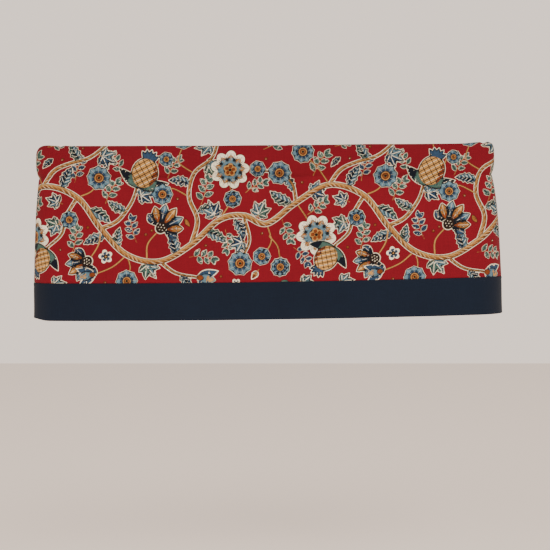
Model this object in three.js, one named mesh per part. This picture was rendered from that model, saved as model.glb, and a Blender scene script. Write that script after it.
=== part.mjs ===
// A rod-pocket window valance as it hangs: one printed face cloth whose top is turned over to the back as a
// pocket for a curtain rod, and a plain band, folded double, along its lower edge. Both cloths run across
// the window and turn a corner back to the wall at each side.
// Millimetres. +X runs along the window, +Y points to the wall and +Z is up. The origin is the middle of
// the top edge, over the centre of the pocket. "along" and "drop" are a place on the cloth laid flat, from
// its middle and from its top edge, and "out" is a distance in front of the pocket's centre line.
import * as THREE from "three";

// Driving dimensions
const CLOTH_WIDTH = 1270; // side hem to side hem, laid flat
const DROP = 417; // top edge to hem
const POCKET = 74; // top edge to the pocket's stitch line
const POCKET_EDGE = 4; // turned-under cloth that shows below the stitch line, at the back
const BAND_DROP = 89; // seam to hem
const CLOTH = 1.4; // thickness of the face cloth
const BAND_CLOTH = 1.2; // thickness of each of the band's two layers
const BAND_AIR = 0.6; // between those layers
const SEAM_GAP = 0.35; // between the face cloth and the band
const SIDE_HEM = 25; // face cloth turned to the back at each end, below the pocket
const SIDE_HEM_CLOTH = 1.1; // thickness of what is turned, pressed flat

// The pocket: its crown is round, its sides are flat beside the rod, and it closes down to the stitches
const ROOM = 8; // half its depth at the middle of the window, to the middle of the cloth
const CROWN = 20; // height of the crown
const CLOSING = 34; // height over which it closes
const ROOM_CHANGE = { from: 250, over: 300 }; // stretch over which its depth becomes that of a side

// The sides. half: window's middle to the cloth on the rod. room: half the pocket's depth. corner: radius of
// the bend. flare, splay: growth of half and of corner down to the hem. shoulder: how far the crown sinks
// round the corner, or rises where under 0. lift: how far the hem rises there.
const SIDES = {
  left: { sign: -1, half: 551, room: 8, corner: 30, flare: 34, splay: 45, shoulder: 6.5, lift: 5 },
  right: { sign: 1, half: 543, room: 5.5, corner: 24, flare: 56, splay: 60, shoulder: -1.5, lift: 0 },
};
const FRONT_FLARE = 20; // how far out from the wall the front swings on its way down
const FLARE_LENGTH = 300; // drop over which the flares mostly open
const SPLAY_LENGTH = 300; // drop over which the corners grow
const HEM_TUCK = 3.5; // how far the sides draw in again from the seam to the hem
const SHOULDER = { from: 520, over: 60, fade: 44 }; // where the crown sinks, and the drop it fades over
const LIFTED = { from: 520, over: 60, fade: 120 }; // where the hem rises, and the height it fades over

// How far the right end of a level line of the cloth stands over its left end, and both over the middle
const TOP_LEVEL = { tilt: 8.4, bow: 1.8 };
const SEAM_LEVEL = { tilt: 18.6, bow: 6.4 };

// Soft ridges (lift over 0) and troughs down the front. at: place along the cloth. spread: half the width of
// a fold. from: drop where it starts. lean: how far it has drifted sideways at the hem.
const FOLDS = [
  { at: -530, lift: -1.5, spread: 22, from: 90, lean: -14 },
  { at: -452, lift: 2.2, spread: 36, from: 110, lean: 10 },
  { at: -348, lift: -2.4, spread: 30, from: 80, lean: -12 },
  { at: -290, lift: 1.4, spread: 26, from: 90, lean: 6 },
  { at: -155, lift: 2.0, spread: 40, from: 80, lean: 18 },
  { at: -94, lift: -1.8, spread: 28, from: 100, lean: 10 },
  { at: 34, lift: -2.6, spread: 34, from: 80, lean: -16 },
  { at: 110, lift: 2.2, spread: 36, from: 85, lean: 8 },
  { at: 190, lift: 1.2, spread: 30, from: 150, lean: 12 },
  { at: 273, lift: -2.4, spread: 32, from: 80, lean: -8 },
  { at: 402, lift: 2.8, spread: 46, from: 85, lean: 14 },
  { at: 486, lift: -2.2, spread: 26, from: 80, lean: -10 },
];

// Puckers along the stitch line. length: crest to crest. lift: how far a crest stands out.
const PUCKERS = [
  { length: 149, lift: 0.6, phase: 0.4 },
  { length: 97, lift: 0.4, phase: 2.1 },
];
const PUCKER_FADE = 26; // drop over which they fade

// The mesh: rows down the cloth, and columns along it in stretches, finest round the pocket's corner
const ROW = 26;
const COLUMNS = [
  { to: 480, step: 24 },
  { to: 512, step: 16 },
  { to: 568, step: 8 },
  { to: CLOTH_WIDTH / 2 - SIDE_HEM, step: 14 },
  { to: CLOTH_WIDTH / 2 - SIDE_HEM + 2, step: 2 },
  { to: CLOTH_WIDTH / 2, step: 23 },
];
const CROWN_ANGLES = [0.3, 0.6, 0.9]; // shares of a quarter turn
const HEM_ANGLES = [0.75, 0.5, 0.25]; // shares of a half turn

const SEAM = DROP - BAND_DROP;
const HALF_CLOTH = CLOTH_WIDTH / 2;

const clamp01 = (t) => Math.min(1, Math.max(0, t));
const smooth = (t) => clamp01(t) ** 2 * (3 - 2 * clamp01(t));
const mix = (a, b, t) => a + (b - a) * t;
const reached = (along, { from, over }) => smooth((Math.abs(along) - from) / over);
const sideOf = (along) => (along < 0 ? SIDES.left : SIDES.right);
const opened = (drop) => 1 - Math.exp(-Math.max(0, drop - POCKET) / FLARE_LENGTH);

// Where the cloth runs in plan at a drop, and which way it faces: a straight front, a round corner and
// what is left of the cloth as a return to the wall.
function planAt(along, drop) {
  const { sign, half, corner, flare, splay } = sideOf(along);
  const width = half + flare * opened(drop) - HEM_TUCK * smooth((drop - SEAM) / BAND_DROP);
  const front = -FRONT_FLARE * opened(drop);
  const radius = corner + splay * smooth((drop - POCKET) / SPLAY_LENGTH);
  const path = Math.abs(along);
  const straight = Math.min(path, width - radius);
  const turn = Math.min((path - straight) / radius, Math.PI / 2);
  const back = path - straight - turn * radius;
  return {
    x: sign * (straight + radius * Math.sin(turn)),
    y: front + radius * (1 - Math.cos(turn)) + back,
    outX: sign * Math.sin(turn),
    outY: -Math.cos(turn),
  };
}

// How far the folds and the puckers push the cloth out.
function waveAt(along, drop) {
  let out = 0;
  for (const { at, lift, spread, from, lean } of FOLDS) {
    const grown = smooth((drop - from) / (DROP - from));
    out += lift * grown * Math.exp(-(((along - at - lean * grown) / spread) ** 2));
  }
  const near = Math.exp(-(((drop - POCKET) / PUCKER_FADE) ** 2));
  for (const { length, lift, phase } of PUCKERS) {
    out += near * lift * Math.sin((2 * Math.PI * along) / length + phase);
  }
  return out;
}

// How far the cloth stands over the height that its drop gives: its tilt and bow, the crown's shoulders and
// the hem's lifted corner.
function riseAt(along, drop) {
  const { shoulder, lift } = sideOf(along);
  const t = along / HALF_CLOTH;
  const down = clamp01(drop / SEAM);
  const tilt = mix(TOP_LEVEL.tilt, SEAM_LEVEL.tilt, down);
  const bow = mix(TOP_LEVEL.bow, SEAM_LEVEL.bow, down);
  const sunk = shoulder * reached(along, SHOULDER) * (1 - smooth(drop / SHOULDER.fade));
  const lifted = lift * reached(along, LIFTED) * smooth(1 - (DROP - drop) / LIFTED.fade);
  return (tilt * t) / 2 + bow * t * t - sunk + lifted;
}

// A point of the hanging cloth.
function place(along, { drop, out }) {
  const { x, y, outX, outY } = planAt(along, drop);
  const reach = out + waveAt(along, drop);
  return [x + outX * reach, y + outY * reach, riseAt(along, drop) - drop];
}

// Numbers from one to another in equal steps of about the given size, both ends kept.
function steps(from, to, size) {
  const count = Math.max(1, Math.round(Math.abs(to - from) / size));
  return Array.from({ length: count + 1 }, (_, i) => mix(from, to, i / count));
}

// Half the pocket's depth: a quarter ellipse over the crown, flat, then a parabola down to the stitches.
function pocketDepth(drop, room) {
  if (drop < CROWN) return room * Math.sqrt(1 - (1 - drop / CROWN) ** 2);
  const closing = Math.max(0, drop - (POCKET - CLOSING)) / CLOSING;
  return mix(room, CLOTH / 2, closing ** 2);
}

// The middle of the pocket's cloth: up the front from the stitches, over the crown and down the back.
function pocketLine(room) {
  const side = [...steps(POCKET, POCKET - CLOSING, CLOSING / 3), (CROWN + POCKET - CLOSING) / 2, CROWN];
  const crown = CROWN_ANGLES.map((share) => CROWN * (1 - Math.sin((share * Math.PI) / 2)));
  const front = [...side, ...crown].map((drop) => ({ drop, out: pocketDepth(drop, room) }));
  const back = front.toReversed().map(({ drop, out }) => ({ drop, out: -out }));
  return [...front, { drop: 0, out: 0 }, ...back];
}

// That line moved sideways, to the outside of the pocket where the distance is positive.
function offsetLine(line, distance) {
  return line.map(({ drop, out }, i) => {
    const before = line[Math.max(0, i - 1)];
    const after = line[Math.min(line.length - 1, i + 1)];
    const up = before.drop - after.drop;
    const across = after.out - before.out;
    const scale = distance / Math.hypot(up, across);
    return { drop: drop + scale * across, out: out + scale * up };
  });
}

// The face cloth's section: its front, the pocket and its back, round the tunnel that the rod fills.
function panelSection(along) {
  const line = pocketLine(mix(ROOM, sideOf(along).room, reached(along, ROOM_CHANGE)));
  const edge = POCKET + POCKET_EDGE;
  const back = Math.abs(along) > HALF_CLOTH - SIDE_HEM ? -SIDE_HEM_CLOTH : 0;
  const outline = [
    ...steps(SEAM, POCKET, ROW).slice(0, -1).map((drop) => ({ drop, out: CLOTH })),
    ...offsetLine(line, CLOTH / 2),
    { drop: edge, out: -CLOTH },
    ...steps(edge, SEAM, ROW).map((drop) => ({ drop, out: back })),
  ];
  const tunnel = [{ drop: POCKET - CLOTH, out: 0 }, ...offsetLine(line, -CLOTH / 2).slice(1, -1)];
  return [outline, tunnel.toReversed()];
}

// The band's section: up its front, down inside, round the fold at the hem, up inside and down its back.
function bandSection() {
  const inner = BAND_AIR / 2;
  const outer = inner + BAND_CLOTH;
  const middle = CLOTH - outer;
  const turn = DROP - outer;
  const down = steps(SEAM + SEAM_GAP, turn, ROW);
  const layer = (drops, out) => drops.map((drop) => ({ drop, out: middle + out }));
  const fold = HEM_ANGLES.map((share) => ({
    drop: turn + outer * Math.sin(share * Math.PI),
    out: middle + outer * Math.cos(share * Math.PI),
  }));
  const outline = [
    ...layer(down.toReversed(), outer),
    ...layer(down, inner),
    { drop: turn + inner, out: middle },
    ...layer(down.toReversed(), -inner),
    ...layer(down, -outer),
    ...fold,
  ];
  return [outline];
}

// Places along the cloth from one side hem to the other.
function columns() {
  const right = [0];
  for (const { to, step } of COLUMNS) right.push(...steps(right.at(-1), to, step).slice(1));
  return [...right.slice(1).reverse().map((along) => -along), ...right];
}

// One closed solid: the section at each column, which may have a hole, joined to the next column's and
// capped at both side hems.
function sweep(sectionAt) {
  const across = columns();
  const loops = sectionAt(across[0]);
  const size = loops.flat().length;
  const pointsAt = (along) => sectionAt(along).flat().flatMap((point) => place(along, point));
  const positions = across.flatMap(pointsAt);
  const index = [];
  for (let column = 0; column < across.length - 1; column += 1) {
    let start = column * size;
    for (const loop of loops) {
      loop.forEach((_, i) => {
        const a = start + i;
        const b = start + ((i + 1) % loop.length);
        index.push(a, a + size, b, b, a + size, b + size);
      });
      start += loop.length;
    }
  }
  const flat = loops.map((loop) => loop.map(({ drop, out }) => new THREE.Vector2(out, -drop)));
  const end = (across.length - 1) * size;
  for (const [a, b, c] of THREE.ShapeUtils.triangulateShape(flat[0], flat.slice(1))) {
    index.push(a, b, c, end + a, end + c, end + b);
  }
  return new THREE.BufferGeometry()
    .setAttribute("position", new THREE.Float32BufferAttribute(positions, 3))
    .setIndex(index);
}

const printedCotton = new THREE.MeshStandardMaterial({ color: 0x8c1c1f, roughness: 0.9, metalness: 0 });
const navyCotton = new THREE.MeshStandardMaterial({ color: 0x1f2530, roughness: 0.92, metalness: 0 });

const facePanel = new THREE.Mesh(sweep(panelSection), printedCotton);
facePanel.name = "face_panel";

const hemBand = new THREE.Mesh(sweep(bandSection), navyCotton);
hemBand.name = "hem_band";

const valance = new THREE.Group();
valance.add(facePanel, hemBand);

export default valance;
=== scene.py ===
"""Looks of a rod-pocket window valance: a printed face cloth with a pocket for the curtain rod along its
top, and a plain band, folded double, along its lower edge.

Both pieces are thin closed sheets. Each is worked out from two numbers on the flat cloth, in millimetres:
"along", from the middle of the window to the right, and "drop", from the top edge down. "out" is a distance
in front of the centre line of the pocket.
"""

from __future__ import annotations

import logging
import math
from collections.abc import Iterable
from dataclasses import dataclass
from enum import Enum

import bpy
import numpy as np
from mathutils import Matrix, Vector


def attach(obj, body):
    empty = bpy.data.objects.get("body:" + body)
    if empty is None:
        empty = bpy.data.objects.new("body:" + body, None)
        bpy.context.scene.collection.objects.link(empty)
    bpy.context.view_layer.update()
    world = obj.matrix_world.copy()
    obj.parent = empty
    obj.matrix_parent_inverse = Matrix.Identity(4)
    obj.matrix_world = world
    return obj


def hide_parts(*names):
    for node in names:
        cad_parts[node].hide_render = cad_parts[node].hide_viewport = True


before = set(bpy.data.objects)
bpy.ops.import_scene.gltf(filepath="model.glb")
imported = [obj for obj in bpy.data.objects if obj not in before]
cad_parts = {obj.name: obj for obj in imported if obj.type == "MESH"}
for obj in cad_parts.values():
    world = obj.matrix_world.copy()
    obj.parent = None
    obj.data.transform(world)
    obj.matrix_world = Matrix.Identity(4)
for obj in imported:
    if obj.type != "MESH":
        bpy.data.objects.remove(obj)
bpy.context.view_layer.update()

log = logging.getLogger("valance")

Array = np.ndarray
Socket = bpy.types.NodeSocket
Dressed = tuple[object, Socket, Socket]
MM = 0.001
CLOTH_MAP = "cloth"
BAKE_MAP = "OFBake"


def smooth(share: Array) -> Array:
    """Ease from 0 to 1 as the share does, level at both ends."""
    kept = np.clip(share, 0.0, 1.0)
    return kept * kept * (3.0 - 2.0 * kept)


def ramp(value: Array, start: float, over: float) -> Array:
    """Ease from 0 at a start to 1 further on."""
    return smooth((value - start) / over)


def mix(low: Array | float, high: Array | float, share: Array | float) -> Array | float:
    """Blend from low to high."""
    return low + (high - low) * share


def hump(distance: Array, width: float) -> Array:
    """Give a bell curve: 1 at no distance, and about a third at the width."""
    return np.exp(-((distance / width) ** 2))


# How the cloth hangs


@dataclass(frozen=True)
class SideShape:
    """One side of the valance, in millimetres.

    Attributes:
        sign: -1 for the left side and 1 for the right.
        half: middle of the window to the cloth on the rod.
        room: half the depth of the pocket.
        corner: radius of the bend.
        flare: growth of half down to the hem.
        splay: growth of the corner's radius down to the hem.
        shoulder: how far the crown sinks round the corner, under 0 where it rises.
        lift: how far the hem rises there.
    """

    sign: float
    half: float
    room: float
    corner: float
    flare: float
    splay: float
    shoulder: float
    lift: float


@dataclass(frozen=True)
class Fold:
    """A long soft ridge, or a trough where lift is under 0, that grows down to the hem.

    Attributes:
        at: place along the cloth.
        lift: how far it stands out at the hem.
        spread: half its width.
        start: the drop where it begins.
        lean: how far it has drifted sideways at the hem.
    """

    at: float
    lift: float
    spread: float
    start: float
    lean: float


@dataclass(frozen=True)
class Pucker:
    """A row of waves along the stitches.

    Attributes:
        length: crest to crest.
        lift: how far a crest stands out.
        phase: where the row begins, in radians.
        fade: the drop over which it dies away.
    """

    length: float
    lift: float
    phase: float
    fade: float


@dataclass(frozen=True)
class Crease:
    """A soft line pressed or pulled into the cloth, straight on the flat cloth.

    Attributes:
        start: (along, drop) of one end.
        end: (along, drop) of the other end.
        width: half its width.
        lift: how far it stands out, under 0 for a trough.
        fade: share of its length over which each end dies away.
    """

    start: tuple[float, float]
    end: tuple[float, float]
    width: float
    lift: float
    fade: float = 0.35

    def out(self, along: Array, drop: Array) -> Array:
        """Work out how far the crease pushes the cloth out, a bell across it and soft at both ends.

        Args:
            along: places along the cloth.
            drop: drops of the same points.

        Returns:
            The push at each point.
        """
        (a0, d0), (a1, d1) = self.start, self.end
        length = math.hypot(a1 - a0, d1 - d0)
        ax, dx = (a1 - a0) / length, (d1 - d0) / length
        run = ((along - a0) * ax + (drop - d0) * dx) / length
        away = (along - a0) * dx - (drop - d0) * ax
        ends = smooth(run / self.fade + 0.5) * smooth((1.0 - run) / self.fade + 0.5)
        return self.lift * hump(away, self.width) * ends


@dataclass(frozen=True)
class Notch:
    """A small dip in the top edge.

    Attributes:
        at: place along the cloth.
        width: half its width.
        depth: how far the edge sinks, under 0 for a small peak.
        fade: the drop over which it dies away.
    """

    at: float
    width: float
    depth: float
    fade: float


@dataclass(frozen=True)
class ClothForm:
    """The hanging shape that both cloths share, in millimetres.

    A level line of the cloth runs straight across the front, turns a round corner at each side and goes
    back to the wall with what is left of its length. Down to the hem the sides flare, the corners widen and
    the front swings out a little.

    Attributes:
        width: of the flat cloth.
        drop: of the hem.
        pocket: drop of the pocket's stitches.
        seam: drop of the seam between the two cloths.
        room: half the pocket's depth at the middle. From room_start on it turns into a side's own.
        left: the left side.
        right: the right side.
        front_flare: how far the front swings out, most of it within flare_length.
        splay_length: drop over which the corners widen.
        hem_tuck: how far the sides draw in from the seam to the hem.
        corner_start: where the shoulders and the hem's lifts begin, to be full after corner_over.
        top_level: tilt from side to side of the top edge, and its bow.
        seam_level: the same of the seam.
        stitch_dent: depth of the groove at the stitches, and stitch_width is half its width.
        stitch_pull: length of cloth from one tight stretch of stitches to the next.
        stitch_uneven: how much deeper the groove is there, as a share.
        seam_dent: the same depth at the seam, and seam_width is its half width.
    """

    width: float = 1270.0
    drop: float = 417.0
    pocket: float = 74.0
    seam: float = 328.0
    room: float = 8.0
    room_start: float = 250.0
    room_over: float = 300.0
    left: SideShape = SideShape(-1, 551, 8.0, 30, 34, 45, 6.5, 5)
    right: SideShape = SideShape(1, 543, 5.5, 24, 56, 60, -1.5, 0)
    front_flare: float = 20.0
    flare_length: float = 300.0
    splay_length: float = 300.0
    hem_tuck: float = 3.5
    corner_start: float = 520.0
    corner_over: float = 60.0
    shoulder_fade: float = 44.0
    lift_fade: float = 120.0
    top_level: tuple[float, float] = (8.4, 1.8)
    seam_level: tuple[float, float] = (18.6, 6.4)
    stitch_dent: float = 0.9
    stitch_width: float = 4.0
    stitch_pull: float = 300.0
    stitch_uneven: float = 0.6
    seam_dent: float = 0.8
    seam_width: float = 2.2
    folds: tuple[Fold, ...] = (
        Fold(-530, -1.5, 22, 90, -14),
        Fold(-452, 2.2, 36, 110, 10),
        Fold(-348, -2.4, 30, 80, -12),
        Fold(-290, 1.4, 26, 90, 6),
        Fold(-155, 2.0, 40, 80, 18),
        Fold(-94, -1.8, 28, 100, 10),
        Fold(34, -2.6, 34, 80, -16),
        Fold(110, 2.2, 36, 85, 8),
        Fold(190, 1.2, 30, 150, 12),
        Fold(273, -2.4, 32, 80, -8),
        Fold(402, 2.8, 46, 85, 14),
        Fold(486, -2.2, 26, 80, -10),
    )
    puckers: tuple[Pucker, ...] = (
        Pucker(149, 0.6, 0.4, 26),
        Pucker(97, 0.4, 2.1, 26),
        Pucker(41, 0.22, 0.9, 14),
        Pucker(17.3, 0.16, 1.7, 8),
        Pucker(11.9, 0.1, 0.2, 6),
    )
    creases: tuple[Crease, ...] = (
        Crease((519, 4), (524, 40), 5, -1.6),
        Crease((536, 6), (548, 62), 9, 1.0),
        Crease((-497, 2), (-490, 34), 5, -1.0),
        Crease((-348, 82), (-352, 190), 11, -0.9),
        Crease((-290, 80), (-296, 150), 8, 0.6),
        Crease((-232, 79), (-243, 210), 12, -0.9),
        Crease((-112, 80), (-100, 175), 10, -0.8),
        Crease((-52, 79), (-60, 140), 7, 0.5),
        Crease((44, 79), (30, 200), 11, -0.9),
        Crease((101, 80), (108, 160), 9, 0.6),
        Crease((160, 79), (152, 165), 9, -0.7),
        Crease((288, 79), (279, 190), 11, -0.9),
        Crease((334, 80), (341, 130), 6, 0.4),
        Crease((396, 80), (404, 170), 12, 0.6),
        Crease((474, 79), (484, 205), 10, -0.9),
        Crease((-430, 60), (-330, 69), 5, 0.4),
        Crease((-60, 66), (40, 58), 5, 0.4),
        Crease((210, 62), (300, 68), 5, 0.35),
        Crease((-180, 18), (-60, 24), 6, 0.35),
        Crease((330, 24), (450, 17), 6, 0.35),
        Crease((-560, 300), (-470, 322), 10, 0.7),
        Crease((430, 318), (540, 300), 10, 0.6),
        Crease((-25, 312), (75, 322), 8, 0.4),
        Crease((-520, 352), (-430, 384), 12, 0.5),
        Crease((250, 372), (360, 350), 12, 0.4),
    )
    notches: tuple[Notch, ...] = (
        Notch(518, 4.5, 3.6, 26),
        Notch(530, 6.0, -1.6, 22),
        Notch(512, 28, -3.0, 40),
        Notch(-540, 26, -2.4, 36),
        Notch(-494, 4.5, 2.2, 22),
        Notch(-482, 6.0, -0.8, 18),
        Notch(-130, 40, 0.8, 26),
        Notch(250, 55, -0.8, 26),
    )

    @property
    def half_width(self) -> float:
        """Half the width of the flat cloth."""
        return self.width / 2

    def columns(self, step: float) -> Array:
        """Give places along the whole cloth, about a step apart."""
        return np.linspace(-self.half_width, self.half_width, round(self.width / step) + 1)

    def side(self, along: Array, name: str) -> Array:
        """Pick one of the side shapes' sizes, left of the middle or right of it."""
        return np.where(along < 0, getattr(self.left, name), getattr(self.right, name))

    def half_room(self, along: Array) -> Array:
        """Give half the depth of the pocket, which changes toward each side."""
        reached = smooth((np.abs(along) - self.room_start) / self.room_over)
        return mix(self.room, self.side(along, "room"), reached)

    def plan(self, along: Array, drop: Array) -> tuple[Array, Array, Array, Array]:
        """Work out the level line through a drop: a straight, a quarter turn and a return.

        Args:
            along: places along the cloth.
            drop: drops of the same points.

        Returns:
            x and y of each point, and the x and y of the direction that the cloth faces.
        """
        below = np.maximum(drop - self.pocket, 0.0)
        opened = 1.0 - np.exp(-below / self.flare_length)
        tucked = self.hem_tuck * smooth((drop - self.seam) / (self.drop - self.seam))
        width = self.side(along, "half") + self.side(along, "flare") * opened - tucked
        front = -self.front_flare * opened
        splayed = smooth(below / self.splay_length)
        radius = self.side(along, "corner") + self.side(along, "splay") * splayed
        path = np.abs(along)
        straight = np.minimum(path, width - radius)
        turn = np.minimum((path - straight) / radius, math.pi / 2)
        back = path - straight - turn * radius
        sign = self.side(along, "sign")
        x = sign * (straight + radius * np.sin(turn))
        y = front + radius * (1.0 - np.cos(turn)) + back
        return x, y, sign * np.sin(turn), -np.cos(turn)

    def wave(self, along: Array, drop: Array) -> Array:
        """Add up how far folds, puckers, creases and the two stitched lines push the cloth out.

        Args:
            along: places along the cloth.
            drop: drops of the same points.

        Returns:
            The push at each point.
        """
        out = np.zeros(np.broadcast(along, drop).shape)
        for fold in self.folds:
            grown = smooth((drop - fold.start) / (self.drop - fold.start))
            out += fold.lift * grown * hump(along - fold.at - fold.lean * grown, fold.spread)
        for pucker in self.puckers:
            near = hump(drop - self.pocket, pucker.fade)
            turns = 2.0 * math.pi * along / pucker.length + pucker.phase
            out += near * pucker.lift * np.sin(turns)
        for crease in self.creases:
            out += crease.out(along, drop)
        pulled = 1.0 + self.stitch_uneven * np.cos(2.0 * math.pi * along / self.stitch_pull)
        out -= self.stitch_dent * pulled * hump(drop - self.pocket, self.stitch_width)
        out -= self.seam_dent * hump(drop - self.seam, self.seam_width)
        return out

    def rise(self, along: Array, drop: Array) -> Array:
        """Work out how far the cloth stands over the height that its drop gives.

        Args:
            along: places along the cloth.
            drop: drops of the same points.

        Returns:
            Tilt and bow, less the crown's shoulders and notches, with the hem's lifted corner.
        """
        t = along / self.half_width
        down = np.clip(drop / self.seam, 0.0, 1.0)
        tilt = mix(self.top_level[0], self.seam_level[0], down)
        bow = mix(self.top_level[1], self.seam_level[1], down)
        corner = smooth((np.abs(along) - self.corner_start) / self.corner_over)
        sunk = self.side(along, "shoulder") * corner * (1.0 - smooth(drop / self.shoulder_fade))
        hem = smooth(1.0 - (self.drop - drop) / self.lift_fade)
        lifted = self.side(along, "lift") * corner * hem
        for notch in self.notches:
            top = 1.0 - smooth(drop / notch.fade)
            sunk = sunk + notch.depth * hump(along - notch.at, notch.width) * top
        return tilt * t / 2.0 + bow * t * t - sunk + lifted

    def place(self, along: Array, drop: Array, out: Array) -> Array:
        """Hang points of the flat cloth.

        Args:
            along: places along the cloth.
            drop: drops of the same points.
            out: distances in front of the pocket's centre line.

        Returns:
            x, y and z of each point in metres, as the last axis.
        """
        x, y, out_x, out_y = self.plan(along, drop)
        reach = out + self.wave(along, drop)
        z = self.rise(along, drop) - drop
        return np.stack([x + out_x * reach, y + out_y * reach, z], axis=-1) * MM


# Closed sheets


@dataclass
class SheetPath:
    """A cloth's way in section: a row of points from one edge to the other, at each column.

    Attributes:
        along: the columns, places along the cloth.
        drop: the drop of each row.
        out: the middle of the cloth, for each row and column.
        thickness: of the cloth.
        stride: how many cells of the outer face one cell of the inner face spans, each way.
        backing: extra cloth on the inner face, for each row and column.
    """

    along: Array
    drop: Array
    out: Array
    thickness: float
    stride: int = 2
    backing: Array | float = 0.0

    @property
    def run(self) -> Array:
        """Measure the cloth at the middle column.

        Returns:
            Its length from the first row to each row.
        """
        middle = self.out[:, self.along.size // 2]
        steps = np.hypot(np.diff(self.drop), np.diff(middle))
        return np.concatenate([[0.0], np.cumsum(steps)])

    def face(self, distance: Array | float) -> tuple[Array, Array]:
        """Move the middle of the cloth sideways, square to its way in section.

        Args:
            distance: how far, toward the outer face where it is over 0.

        Returns:
            The drop and the out of each row and column.
        """
        up = -np.gradient(self.drop)[:, None] * np.ones_like(self.out)
        across = np.gradient(self.out, axis=0)
        length = np.hypot(up, across)
        return self.drop[:, None] + distance * across / length, self.out + distance * up / length


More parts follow.
